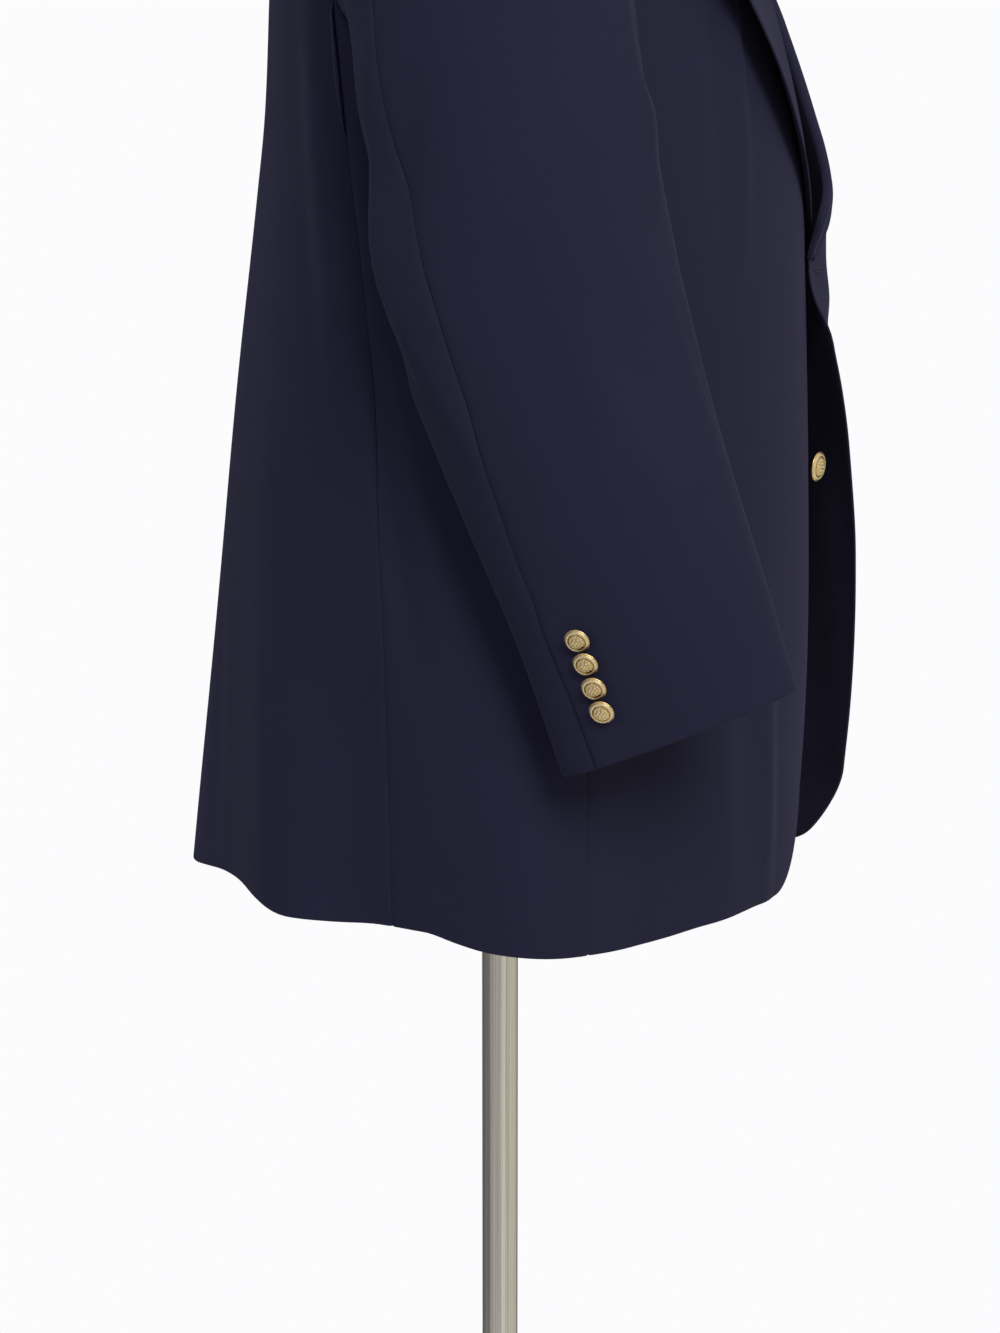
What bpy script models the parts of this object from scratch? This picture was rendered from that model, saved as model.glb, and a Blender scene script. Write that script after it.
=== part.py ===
"""A single-breasted blazer on a limbless dress form with a round base.

Metres, +Z up. The origin is on the floor under the pole, the garment faces -Y,
and the wearer's right is -X. Every cloth piece is an open surface, worked out
from the tables below, with a second surface a wall's thickness inside it.
"""

import math
from collections import namedtuple

import bmesh
import bpy
from mathutils import Matrix, Vector

# Cloth and clearances
WALL = 0.0020
SEAM_GAP = 0.0003
RIGHT, LEFT = -1, 1

# The body of the coat, as level rings that rise over the shoulders to the neck.
# z_back, z_side and z_front are the heights of a ring behind, beside and before
# the wearer. half_width is along X, and back and front are along +Y and -Y.
Ring = namedtuple("Ring", "level z_back z_side z_front half_width back front")
RINGS = (
    Ring(0.700, 0.700, 0.700, 0.700, 0.2340, 0.2160, 0.2030),
    Ring(0.800, 0.800, 0.800, 0.800, 0.2290, 0.2050, 0.2065),
    Ring(0.900, 0.900, 0.900, 0.900, 0.2240, 0.1930, 0.2075),
    Ring(1.000, 1.000, 1.000, 1.000, 0.2170, 0.1805, 0.2058),
    Ring(1.100, 1.100, 1.100, 1.100, 0.2100, 0.1673, 0.2025),
    Ring(1.180, 1.180, 1.180, 1.180, 0.2065, 0.1567, 0.1992),
    Ring(1.235, 1.235, 1.235, 1.235, 0.2055, 0.1503, 0.1915),
    Ring(1.340, 1.346, 1.340, 1.330, 0.2100, 0.1435, 0.1700),
    Ring(1.400, 1.412, 1.400, 1.385, 0.2170, 0.1300, 0.1440),
    Ring(1.425, 1.438, 1.425, 1.408, 0.2205, 0.1200, 0.1290),
    Ring(1.447, 1.460, 1.447, 1.428, 0.2150, 0.1080, 0.1130),
    Ring(1.462, 1.474, 1.460, 1.441, 0.1860, 0.1000, 0.0995),
    Ring(1.475, 1.487, 1.472, 1.453, 0.1500, 0.0930, 0.0870),
    Ring(1.497, 1.506, 1.497, 1.480, 0.0880, 0.0750, 0.0640),
)
ARMPIT_LEVEL, SHOULDER_LEVEL, NECK_LEVEL = 1.235, 1.447, 1.497

# The armhole, an oval round the side of the rings, in degrees before and behind 90
ARMHOLE_FRONT_DEG, ARMHOLE_BACK_DEG = 25.0, 34.0

# Seams of the body: the angle from the centre back, in degrees, at each level
SIDE_BACK_SEAM = (
    (0.70, 80.0), (0.90, 78.0), (0.98, 76.4), (1.05, 74.8), (1.10, 72.5), (1.14, 70.2), (1.18, 67.3),
    (1.21, 65.2), (1.30, 59.6),
)
SIDE_FRONT_SEAM = ((0.70, 113.0), (0.95, 112.0), (1.10, 110.0), (1.30, 108.0))

# Height of the hem at each angle from the centre back
HEM = (
    (0, 0.7405), (10, 0.7415), (20, 0.7460), (30, 0.7500), (40, 0.7510), (50, 0.7480), (58, 0.7435),
    (66, 0.7430), (75, 0.7445), (84, 0.7450), (90, 0.7410), (96, 0.7375), (104, 0.7360), (112, 0.7350),
    (120, 0.7335), (128, 0.7355), (136, 0.7385), (150, 0.7400), (165, 0.7390), (180, 0.7330),
)
LEFT_HEM_DROP = 0.006

# The front edge: how far it passes the centre front, towards the other side.
# Above BREAK_LEVEL it is the roll line, on which the lapel turns back.
BREAK_LEVEL = 1.165
ROLL = (
    (1.165, 0.016), (1.20, -0.010), (1.25, -0.034), (1.30, -0.054), (1.35, -0.067), (1.40, -0.075),
    (1.447, -0.079), (1.475, -0.0795), (1.497, -0.0800),
)
FRONT_EDGE = {
    RIGHT: ((0.80, -0.036), (0.84, -0.021), (0.90, -0.002), (0.96, 0.011), (1.02, 0.016)) + ROLL,
    LEFT: (
        (0.80, -0.056), (0.84, -0.045), (0.90, -0.034), (0.96, -0.024), (1.007, -0.016), (1.07, 0.003),
        (1.12, 0.016),
    ) + ROLL,
}
CORNER_LEVEL, CORNER_WIDTH = 0.80, 0.052

# The left front stands forward of the right one. Above and at the top button it
# does so most at its crest, and below it hangs open, forward at its edge.
SWING_CREST_X, SWING_END_X = 0.058, 0.175
SWING = (
    # level, forward at the crest, forward at the front edge
    (0.70, 0.0130, 0.0130), (0.75, 0.0215, 0.0215), (0.80, 0.0345, 0.0345), (0.86, 0.0290, 0.0352),
    (0.95, 0.0190, 0.0335), (1.02, 0.0130, 0.0280), (1.06, 0.0125, 0.0228), (1.09, 0.0160, 0.0168),
    (1.12, 0.0215, 0.0062), (1.145, 0.0195, 0.0062), (1.19, 0.0190, 0.0150), (1.24, 0.0145, 0.0115),
    (1.31, 0.0080, 0.0075), (1.37, 0.0030, 0.0030), (1.43, 0.0, 0.0),
)

# Soft folds: a line from (low_deg, low) to (high_deg, high), its half width in
# degrees, and how far it stands out (or in, if negative) at its low end.
Fold = namedtuple("Fold", "side low_deg low high_deg high half_width depth")
FOLDS = (
    Fold(RIGHT, 107, 0.70, 100, 1.08, 18, 0.018),
    Fold(RIGHT, 75, 0.70, 62, 1.12, 21, -0.019),
    Fold(RIGHT, 35, 0.70, 30, 1.10, 30, -0.019),
    Fold(RIGHT, 141, 0.70, 146, 1.00, 14, 0.003),
    Fold(LEFT, 104, 0.70, 98, 1.04, 14, 0.013),
    Fold(LEFT, 82, 0.70, 70, 1.12, 12, -0.013),
    Fold(LEFT, 60, 0.70, 54, 1.00, 12, 0.007),
    Fold(LEFT, 36, 0.70, 30, 1.06, 16, -0.010),
)

# Under the arm the back stands out along its seam, and the side panel falls in
Drape = namedtuple("Drape", "offset_deg half_width depth")
UNDERARM_DRAPES = (Drape(-7.0, 8.0, 0.007), Drape(9.0, 9.0, -0.011))
UNDERARM_LOW, UNDERARM_MID, UNDERARM_HIGH = 0.98, 1.19, 1.33

# The sleeve, as ovals down the arm. over is the outer or upper point of an oval
# and under the inner or lower one, on the wearer's right. y is its middle.
Oval = namedtuple("Oval", "over_x over_z under_x under_z y half_width lean_deg")
SLEEVE = (
    Oval(-0.2425, 1.4395, -0.2075, 1.2315, -0.008, 0.0770, 0),
    Oval(-0.2710, 1.4120, -0.2090, 1.2260, -0.014, 0.0795, 0),
    Oval(-0.2835, 1.3620, -0.2100, 1.2190, -0.0235, 0.0780, 2),
    Oval(-0.2880, 1.3050, -0.2110, 1.2090, -0.0305, 0.0780, 4),
    Oval(-0.2885, 1.2450, -0.2120, 1.1940, -0.0353, 0.0788, 6),
    Oval(-0.2875, 1.1800, -0.2130, 1.1600, -0.0460, 0.0775, 8),
    Oval(-0.2865, 1.1200, -0.2140, 1.1130, -0.0520, 0.0828, 11),
    Oval(-0.2860, 1.0600, -0.2150, 1.0570, -0.0700, 0.0785, 16),
    Oval(-0.2850, 1.0000, -0.2165, 1.0000, -0.0910, 0.0745, 19),
    Oval(-0.2830, 0.9400, -0.2190, 0.9400, -0.1135, 0.0715, 20),
    Oval(-0.2800, 0.8720, -0.2220, 0.8720, -0.1360, 0.0702, 22),
)
# The seams are at the armhole rows of level 1.4063 behind and 1.2979 before
HINDARM_SEAM_DEG = (
    (0, 141.98), (0.2, 143.0), (0.43, 143.3), (0.50, 139.8), (0.56, 132.5), (0.62, 126.8), (0.69, 128.2),
    (0.77, 132.4), (0.84, 135.3), (0.90, 135.6), (0.96, 133.0), (1, 132.4),
)
FOREARM_SEAM_DEG = -23.99
SLEEVE_FOLDS = (
    # along the sleeve, round it in degrees, half length, half width in degrees, depth
    (0.52, 172, 0.085, 34, 0.007), (0.63, 178, 0.05, 30, -0.004), (0.58, 16, 0.07, 30, -0.004),
    (0.45, 8, 0.05, 26, 0.003), (0.30, 60, 0.10, 30, 0.003), (0.72, 45, 0.10, 34, -0.003),
)

# Lapels: how far the free edge lies from the roll line, and how high it stands
LAPEL_WIDTH = (
    (1.165, 0.012), (1.185, 0.030), (1.21, 0.048), (1.25, 0.064), (1.30, 0.078), (1.36, 0.089),
    (1.428, 0.096),
)
LAPEL_TOP_LEVEL, LAPEL_TOP_FALL = 1.428, 0.030
LAPEL_STAND_OFF = 0.0048
LAPEL_LIFT = ((1.165, 0.002), (1.21, 0.009), (1.29, 0.017), (1.34, 0.015), (1.39, 0.009), (1.428, 0.006))
# Section of a fold: share of its reach beyond the cloth's edge, and height above the cloth
FOLD_REACH, FOLD_RISE, BREAK_SHARE = 0.0054, 0.055, 0.68
FOLD_SECTION = (
    (0.20, -0.0024), (0.62, -0.0020), (0.92, -0.0004), (1.00, 0.0018), (0.80, 0.0040), (0.30, 0.0050),
)

# Collar: a stand that rises from the neck edge, and a fall that covers it and
# lies that far down the cloth beyond the edge
COLLAR_STAND, COLLAR_LAP_BACK, COLLAR_LAP_FRONT = 0.030, 0.016, 0.052
COLLAR_FRONT_LEVEL, COLLAR_LEAN, COLLAR_STAND_OFF = 1.4315, 0.22, 0.0056
COLLAR_LAPS = (0.0, 0.33, 0.66, 1.0)

# Hip pocket flaps
FLAP_LEVEL, FLAP_DEPTH, FLAP_START_DEG, FLAP_END_DEG, FLAP_TILT = 0.975, 0.055, 110.0, 142.0, 0.010

# Buttons. lift is the height of the head's back above the cloth along the shank,
# and lean is how far the button leans from the cloth's normal, towards lean_to.
Button = namedtuple("Button", "diameter head lift foot lean_deg lean_to")
TOP_BUTTON = Button(0.020, 0.0032, 0.0018, 0.0003, 0.0, (0, 0, 1))
LOWER_BUTTON = Button(0.020, 0.0040, 0.0066, 0.0012, 26.0, (-1.0, 0, -0.35))
CUFF_BUTTON = Button(0.0146, 0.0034, 0.0040, 0.0010, 20.0, (0, 0, -1))
SHANK_RADIUS = 0.0018
TOP_BUTTON_LEVEL, LOWER_BUTTON_LEVEL = 1.137, 1.010
CUFF_BUTTONS, CUFF_BUTTON_PITCH, CUFF_BUTTON_START, CUFF_BUTTON_INSET_DEG = 4, 0.0138, 0.0305, 15.0

# Dress form and stand
FORM_CLEARANCE = 0.0006
# level, how far the form lies inside the cloth behind, beside and before
FORM_INSET = (
    (0.800, 0.075, 0.050, 0.085), (0.860, 0.062, 0.044, 0.080), (0.940, 0.055, 0.042, 0.076),
    (1.060, 0.060, 0.052, 0.082), (1.160, 0.040, 0.045, 0.070), (1.250, 0.022, 0.035, 0.055),
    (1.340, 0.012, 0.022, 0.030), (1.400, 0.006, 0.012, 0.010), (1.430, 0.004, 0.006, 0.008),
    (1.442, 0.003, 0.004, 0.006), (1.447, 0.0006, 0.0006, 0.002), (1.458, 0.0, 0.0, 0.002),
    (1.475, 0.0, 0.0, 0.002), (1.497, 0.004, 0.004, 0.006),
)
NECK_RADIUS, NECK_TOP, NECK_Y = 0.054, 1.560, 0.001
CAP_RADIUS, CAP_HEIGHT = 0.050, 0.012
POLE_RADIUS, POLE_TOP = 0.0125, 0.790
FORM_BOTTOM = 0.800
HUB_RADIUS, HUB_HEIGHT = 0.024, 0.045
BASE_RADIUS, BASE_HEIGHT = 0.175, 0.012

# Rows and columns of the cloth
SPLIT_LEVEL = 0.940
SKIRT_ROWS = 6
BODY_LEVELS = (1.00, 1.06, 1.115, 1.165, 1.20, 1.235)
FRONT_ARMHOLE_LEVELS = (1.2979, 1.345, 1.38, 1.41, 1.43, 1.442, 1.447)
BACK_ARMHOLE_LEVELS = (1.315, 1.345, 1.38, 1.4063, 1.43, 1.442, 1.447)
YOKE_LEVELS = (1.458, 1.469, 1.480, 1.490, 1.497)
BACK_COLUMNS, SIDE_COLUMNS, FRONT_COLUMNS = 9, 6, 12
SLEEVE_ROWS = 20

COLOURS = {
    "wool": ((0.017, 0.016, 0.034), 0.80, 0.0),
    "gilt": ((0.80, 0.56, 0.22), 0.30, 1.0),
    "linen": ((0.72, 0.68, 0.60), 0.90, 0.0),
    "steel": ((0.62, 0.60, 0.57), 0.25, 1.0),
}


# Reading the tables


def smooth(points, at):
    """The value of a table of (place, value) at a place, on a curve with no overshoot."""
    last = len(points) - 1
    if at <= points[0][0]:
        return points[0][1]
    if at >= points[last][0]:
        return points[last][1]
    i = next(k for k in range(last) if at <= points[k + 1][0])
    rise = [
        (points[k + 1][1] - points[k][1]) / (points[k + 1][0] - points[k][0]) if 0 <= k < last else None
        for k in (i - 1, i, i + 1)
    ]

    def slope(before, after):
        if before is None or after is None:
            return after if before is None else before
        return 2 * before * after / (before + after) if before * after > 0 else 0.0

    start, end = slope(rise[0], rise[1]), slope(rise[1], rise[2])
    width = points[i + 1][0] - points[i][0]
    t = (at - points[i][0]) / width
    return (
        points[i][1] * (1 + 2 * t) * (1 - t) ** 2
        + start * width * t * (1 - t) ** 2
        + points[i + 1][1] * t * t * (3 - 2 * t)
        - end * width * t * t * (1 - t)
    )


def column(table, name, key="level"):
    return [(getattr(row, key), getattr(row, name)) for row in table]


RING_CURVES = {name: column(RINGS, name) for name in Ring._fields[1:]}


def ring_size(name, level):
    if level < RINGS[0].level:
        level = RINGS[0].level
    return smooth(RING_CURVES[name], level)


def hump(distance):
    """1 at 0, falling smoothly to 0 at 1 and beyond."""
    return math.cos(min(abs(distance), 1.0) * math.pi / 2) ** 2


def mix(a, b, t):
    return a + (b - a) * t


# The outer face of the coat's body


def fold_height(side, deg, level):
    total = 0.0
    for fold in FOLDS:
        if fold.side != side or level > fold.high:
            continue
        along = max(0.0, (level - fold.low) / (fold.high - fold.low))
        middle = mix(fold.low_deg, fold.high_deg, along)
        total += fold.depth * hump((deg - middle) / fold.half_width) * hump(along)
    seam = smooth(SIDE_BACK_SEAM, level)
    reach = UNDERARM_HIGH - UNDERARM_MID if level > UNDERARM_MID else UNDERARM_MID - UNDERARM_LOW
    for drape in UNDERARM_DRAPES:
        near = hump((deg - seam - drape.offset_deg) / drape.half_width)
        total += drape.depth * near * hump((level - UNDERARM_MID) / reach)
    return total


def forward_swing(x, level):
    """How far the left front stands forward of the ring at a distance x left of the centre."""
    crest = smooth([row[:2] for row in SWING], level)
    edge = smooth([(row[0], row[2]) for row in SWING], level)
    if x >= SWING_CREST_X:
        return crest * hump((x - SWING_CREST_X) / (SWING_END_X - SWING_CREST_X))
    edge_x = -smooth(FRONT_EDGE[LEFT], level) - 0.004
    return mix(edge, crest, 1 - hump((x - edge_x) / (SWING_CREST_X - edge_x)))


def ring_point(side, deg, level):
    turn = math.radians(deg)
    across, along = math.sin(turn), math.cos(turn)
    reach = ring_size("back" if along > 0 else "front", level)
    z_side = ring_size("z_side", level)
    z_end = ring_size("z_back" if along > 0 else "z_front", level)
    x = side * ring_size("half_width", level) * across
    y = reach * along
    z = mix(z_side, z_end, along * along) + min(0.0, level - RINGS[0].level)
    bulge = fold_height(side, deg, level)
    x += side * bulge * across
    y += bulge * along
    if side == LEFT and along < 0:
        y -= forward_swing(x, level)
    return Vector((x, y, z))


def normal_at(side, deg, level):
    step_deg, step_level = 0.6, 0.002
    around = ring_point(side, deg + step_deg, level) - ring_point(side, deg - step_deg, level)
    up = ring_point(side, deg, level + step_level) - ring_point(side, deg, level - step_level)
    return (around.cross(up) * -side).normalized()


def above(side, deg, level, height):
    """A point that lies height above the cloth's outer face."""
    return ring_point(side, deg, level) + normal_at(side, deg, level) * height


def degrees_for(side, deg, level, distance):
    """The angle that a distance along the ring spans there."""
    step_deg = 0.5
    span = ring_point(side, deg + step_deg, level) - ring_point(side, deg - step_deg, level)
    return distance / span.length * 2 * step_deg


def front_edge_deg(side, level):
    """The angle at which the front panel ends."""
    past = smooth(FRONT_EDGE[side], level)
    share = max(-1.0, min(1.0, past / ring_size("half_width", level)))
    return 180.0 + math.degrees(math.asin(share))


def hem_level(side, deg):
    drop = LEFT_HEM_DROP * max(0.0, (deg - 110) / 70) if side == LEFT else 0.0
    return smooth(HEM, min(deg, 180)) - drop


# The armhole


def armhole_point(turn_deg):
    """(angle, level) of the armhole: 0 is its front, 90 its top, 180 its back."""
    turn = math.radians(turn_deg)
    middle = (SHOULDER_LEVEL + ARMPIT_LEVEL) / 2
    half = (SHOULDER_LEVEL - ARMPIT_LEVEL) / 2
    width = ARMHOLE_FRONT_DEG if math.cos(turn) > 0 else ARMHOLE_BACK_DEG
    return 90.0 + width * math.cos(turn), middle + half * math.sin(turn)


def armhole_deg(level, width):
    middle = (SHOULDER_LEVEL + ARMPIT_LEVEL) / 2
    half = (SHOULDER_LEVEL - ARMPIT_LEVEL) / 2
    share = max(-1.0, min(1.0, (level - middle) / half))
    return 90.0 + width * math.sqrt(max(0.0, 1 - share * share))


def armhole_meets(seam, width):
    """The level where a side seam runs into the armhole."""
    low, high = ARMPIT_LEVEL, (SHOULDER_LEVEL + ARMPIT_LEVEL) / 2
    for _ in range(30):
        middle = (low + high) / 2
        inside = abs(smooth(seam, middle) - 90) > abs(armhole_deg(middle, width) - 90)
        low, high = (middle, high) if inside else (low, middle)
    return low


# Making objects


def clear_scene():
    for old in list(bpy.data.objects):
        bpy.data.objects.remove(old, do_unlink=True)


def make_material(name):
    colour, roughness, metallic = COLOURS[name]
    material = bpy.data.materials.new(name)
    material.use_nodes = True
    shader = material.node_tree.nodes["Principled BSDF"]
    shader.inputs["Base Color"].default_value = (*colour, 1.0)
    shader.inputs["Roughness"].default_value = roughness
    shader.inputs["Metallic"].default_value = metallic
    return material


def add_object(name, mesh, material):
    thing = bpy.data.objects.new(name, mesh)
    mesh.materials.clear()
    mesh.materials.append(MATERIALS[material])
    COLLECTION.objects.link(thing)
    return thing


def add_wall(name, outer, inner, material="wool"):
    """A closed cloth wall between two grids of points, its outer and inner faces."""
    mesh = bpy.data.meshes.new(name)
    wall = bmesh.new()
    faces = [[[wall.verts.new(point) for point in row] for row in grid] for grid in (outer, inner)]
    rows, columns = len(outer), len(outer[0])
    for grid in faces:
        for r in range(rows - 1):
            for c in range(columns - 1):
                wall.faces.new((grid[r][c], grid[r][c + 1], grid[r + 1][c + 1], grid[r + 1][c]))
    rim = [(0, c) for c in range(columns)] + [(r, columns - 1) for r in range(1, rows)]
    rim += [(rows - 1, c) for c in range(columns - 2, -1, -1)] + [(r, 0) for r in range(rows - 2, 0, -1)]
    for (r, c), (next_r, next_c) in zip(rim, rim[1:] + rim[:1]):
        wall.faces.new((faces[0][r][c], faces[0][next_r][next_c], faces[1][next_r][next_c], faces[1][r][c]))
    bmesh.ops.recalc_face_normals(wall, faces=wall.faces)
    wall.to_mesh(mesh)
    wall.free()
    mesh.shade_smooth()
    return add_object(name, mesh, material)


def grid_normals(rows, away):
    """A normal at each point of a grid, on the side that away points to at its middle."""
    last_r, last_c = len(rows) - 1, len(rows[0]) - 1
    normals = []
    for r in range(last_r + 1):
        line = []
        for c in range(last_c + 1):
            across = rows[r][min(c + 1, last_c)] - rows[r][max(c - 1, 0)]
            up = rows[min(r + 1, last_r)][c] - rows[max(r - 1, 0)][c]
            line.append(across.cross(up).normalized())
        normals.append(line)
    if normals[last_r // 2][last_c].dot(away) < 0:
        normals = [[-normal for normal in line] for line in normals]
    return normals


def add_panel(name, side, places):
    """A wall on the coat's body, from rows of (angle, level)."""
    outer = [[ring_point(side, deg, level) for deg, level in row] for row in places]
    inner = [[above(side, deg, level, -WALL) for deg, level in row] for row in places]
    return add_wall(f"{name}_{name_of(side)}", outer, inner)


# Body panels


def row_fractions():
    """How far up each row of the skirt lies, from the hem to SPLIT_LEVEL."""
    return [row / SKIRT_ROWS for row in range(SKIRT_ROWS)]


def seam_in(side, deg, level, towards):
    return deg + towards * degrees_for(side, deg, level, SEAM_GAP / 2)


def back_panel(side):
    meets = armhole_meets(SIDE_BACK_SEAM, -ARMHOLE_BACK_DEG)
    rows = []
    for step in row_fractions():
        row = []
        for i in range(BACK_COLUMNS + 1):
            across = i / BACK_COLUMNS
            foot = mix(0.0, smooth(SIDE_BACK_SEAM, SPLIT_LEVEL), across)
            level = mix(hem_level(side, foot), SPLIT_LEVEL, step)
            row.append((across, smooth(SIDE_BACK_SEAM, level), level))
        rows.append(row)
    for level in (SPLIT_LEVEL,) + BODY_LEVELS + (meets,) + BACK_ARMHOLE_LEVELS + YOKE_LEVELS:
        if level <= meets:
            edge = smooth(SIDE_BACK_SEAM, level)
        elif level < SHOULDER_LEVEL:
            edge = armhole_deg(level, -ARMHOLE_BACK_DEG)
        else:
            edge = 90.0
        rows.append([(i / BACK_COLUMNS, edge, level) for i in range(BACK_COLUMNS + 1)])
    places = []
    for row in rows:
        line = []
        for across, edge, level in row:
            start = seam_in(side, 0.0, level, 1)
            end = edge if meets < level < SHOULDER_LEVEL else seam_in(side, edge, level, -1)
            line.append((mix(start, end, across), level))
        places.append(line)
    return add_panel("back", side, places)


def side_panel(side):
    back_top = armhole_meets(SIDE_BACK_SEAM, -ARMHOLE_BACK_DEG)
    front_top = armhole_meets(SIDE_FRONT_SEAM, ARMHOLE_FRONT_DEG)
    columns = range(SIDE_COLUMNS + 1)
    rows = []
    for step in row_fractions():
        row = []
        for i in columns:
            across = i / SIDE_COLUMNS
            foot = mix(smooth(SIDE_BACK_SEAM, SPLIT_LEVEL), smooth(SIDE_FRONT_SEAM, SPLIT_LEVEL), across)
            row.append((across, mix(hem_level(side, foot), SPLIT_LEVEL, step), 0.0))
        rows.append(row)
    lower, upper = (SPLIT_LEVEL,) + BODY_LEVELS[:-1], BODY_LEVELS[-1]
    for level in lower:
        rows.append([(i / SIDE_COLUMNS, level, 0.0) for i in columns])
    tops = [armhole_point(turn) for turn in side_turns()]
    rise = upper - lower[-1]
    middle_row = []
    for i in columns:
        share = mix(rise / (back_top - lower[-1]), rise / (front_top - lower[-1]), i / SIDE_COLUMNS)
        middle_row.append((i / SIDE_COLUMNS, mix(lower[-1], tops[i][1], share), share))
    rows.append(middle_row)
    rows.append([(i / SIDE_COLUMNS, tops[i][1], 1.0) for i in columns])
    places = []
    for row in rows:
        line = []
        for i, (across, level, share) in enumerate(row):
            start = seam_in(side, smooth(SIDE_BACK_SEAM, level), level, 1)
            end = seam_in(side, smooth(SIDE_FRONT_SEAM, level), level, -1)
            deg = mix(start, end, across)
            if 0 < i < SIDE_COLUMNS:
                deg = mix(deg, tops[i][0], share)
            line.append((deg, level))
        places.append(line)
    return add_panel("side", side, places)


def side_turns():
    """The turns round the armhole of the side panel's columns, from its back seam."""
    back_turn = turn_at(armhole_meets(SIDE_BACK_SEAM, -ARMHOLE_BACK_DEG), -1)
    front_turn = turn_at(armhole_meets(SIDE_FRONT_SEAM, ARMHOLE_FRONT_DEG), 1)
    return [mix(back_turn, front_turn, i / SIDE_COLUMNS) for i in range(SIDE_COLUMNS + 1)]


def armhole_turns():
    """The turns of every corner of the armhole's edge, from the forearm seam round and back to it."""
    front = [turn_at(level, 1) - 360 for level in FRONT_ARMHOLE_LEVELS]
    back = [turn_at(level, -1) for level in reversed(BACK_ARMHOLE_LEVELS[:-1])]
    return front + back + side_turns() + [front[0] + 360]


def turn_at(level, towards):
    """The turn round the armhole's lower half at a level, on its front or its back."""
    middle = (SHOULDER_LEVEL + ARMPIT_LEVEL) / 2
    half = (SHOULDER_LEVEL - ARMPIT_LEVEL) / 2
    down = math.degrees(math.asin((middle - level) / half))
    return 360.0 - down if towards > 0 else 180.0 + down


def front_panel(side):
    meets = armhole_meets(SIDE_FRONT_SEAM, ARMHOLE_FRONT_DEG)
    corner_deg = front_edge_deg(side, CORNER_LEVEL)
    flat_deg = corner_deg - degrees_for(side, corner_deg, CORNER_LEVEL, CORNER_WIDTH)
    hem_foot = hem_level(side, flat_deg)

    def corner(turn_deg):
        """(angle, level) on the rounded corner: 0 is on the front edge, 90 on the hem."""
        turn = math.radians(turn_deg)
        return (
            mix(flat_deg, corner_deg, math.cos(turn)),
            mix(CORNER_LEVEL, hem_foot, math.sin(turn)),
        )

    seam_foot = (smooth(SIDE_FRONT_SEAM, SPLIT_LEVEL), hem_level(side, smooth(SIDE_FRONT_SEAM, SPLIT_LEVEL)))
    bottom_share, edge_share = 0.80, 0.36

    def bottom(across):
        if across > bottom_share:
            return corner(mix(90, 45, (across - bottom_share) / (1 - bottom_share)))
        deg = mix(smooth(SIDE_FRONT_SEAM, seam_foot[1]), flat_deg, across / bottom_share)
        return deg, hem_level(side, deg)

    def edge(up):
        if up < edge_share:
            return corner(mix(45, 0, up / edge_share))
        level = mix(CORNER_LEVEL, SPLIT_LEVEL, (up - edge_share) / (1 - edge_share))
        return front_edge_deg(side, level), level

    def seam(up):
        level = mix(seam_foot[1], SPLIT_LEVEL, up)
        return smooth(SIDE_FRONT_SEAM, level), level

    split_start = smooth(SIDE_FRONT_SEAM, SPLIT_LEVEL)
    split_end = front_edge_deg(side, SPLIT_LEVEL)

    def skirt(across, up):
        """A Coons patch between the hem, the front edge, the seam and the split."""
        place = []
        for k in (0, 1):
            top = (mix(split_start, split_end, across), SPLIT_LEVEL)[k]
            corners = mix(
                mix(bottom(0)[k], bottom(1)[k], across),
                mix((split_start, SPLIT_LEVEL)[k], (split_end, SPLIT_LEVEL)[k], across),
                up,
            )
            ruled = mix(bottom(across)[k], top, up) + mix(seam(up)[k], edge(up)[k], across)
            place.append(ruled - corners)
        return place

    rows = []
    for step in row_fractions():
        rows.append([skirt(i / FRONT_COLUMNS, step) for i in range(FRONT_COLUMNS + 1)])
    for level in (SPLIT_LEVEL,) + BODY_LEVELS + (meets,) + FRONT_ARMHOLE_LEVELS + YOKE_LEVELS:
        if level <= meets:
            start = smooth(SIDE_FRONT_SEAM, level)
        elif level < SHOULDER_LEVEL:
            start = armhole_deg(level, ARMHOLE_FRONT_DEG)
        else:
            start = 90.0
        end = front_edge_deg(side, level)
        rows.append([(mix(start, end, i / FRONT_COLUMNS), level) for i in range(FRONT_COLUMNS + 1)])
    places = []
    for row in rows:
        level = row[0][1]
        line = list(row)
        if not meets < level < SHOULDER_LEVEL:
            line[0] = (seam_in(side, row[0][0], level, 1), level)
        places.append(line)
    return add_panel("front", side, places)


# Lapels and collar


def lapel_level(level, share):
    """Rows of the lapel tip down towards its free edge near the top."""
    rise = (level - BREAK_LEVEL) / (LAPEL_TOP_LEVEL - BREAK_LEVEL)
    return level - LAPEL_TOP_FALL * share * rise**3


def fold_frame(side, deg, level, to_back):
    """At the cloth's edge: the way on beyond it, and the way out. At the back neck these are up and out."""
    step = ring_point(side, deg + 0.5, level) - ring_point(side, deg - 0.5, level)
    along, out = step.normalized(), normal_at(side, deg, level)
    base = ring_point(side, deg, level)
    inwards = Vector((-base.x, NECK_Y - base.y, 0)).normalized()
    up = (Vector((0, 0, 1)) + inwards * COLLAR_LEAN).normalized()
    away = (-inwards + Vector((0, 0, 1)) * COLLAR_LEAN).normalized()
    return base, mix(along, up, to_back).normalized(), mix(out, away, to_back).normalized()


def fold(side, deg, level, reach, to_back=0.0, full=1.0):
    base, along, out = fold_frame(side, deg, level, to_back)
    points = []
    for share, height in FOLD_SECTION:
        rise = height * full if height > 0 else height
        points.append(base + along * reach * share + out * rise)
    return points


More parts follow.
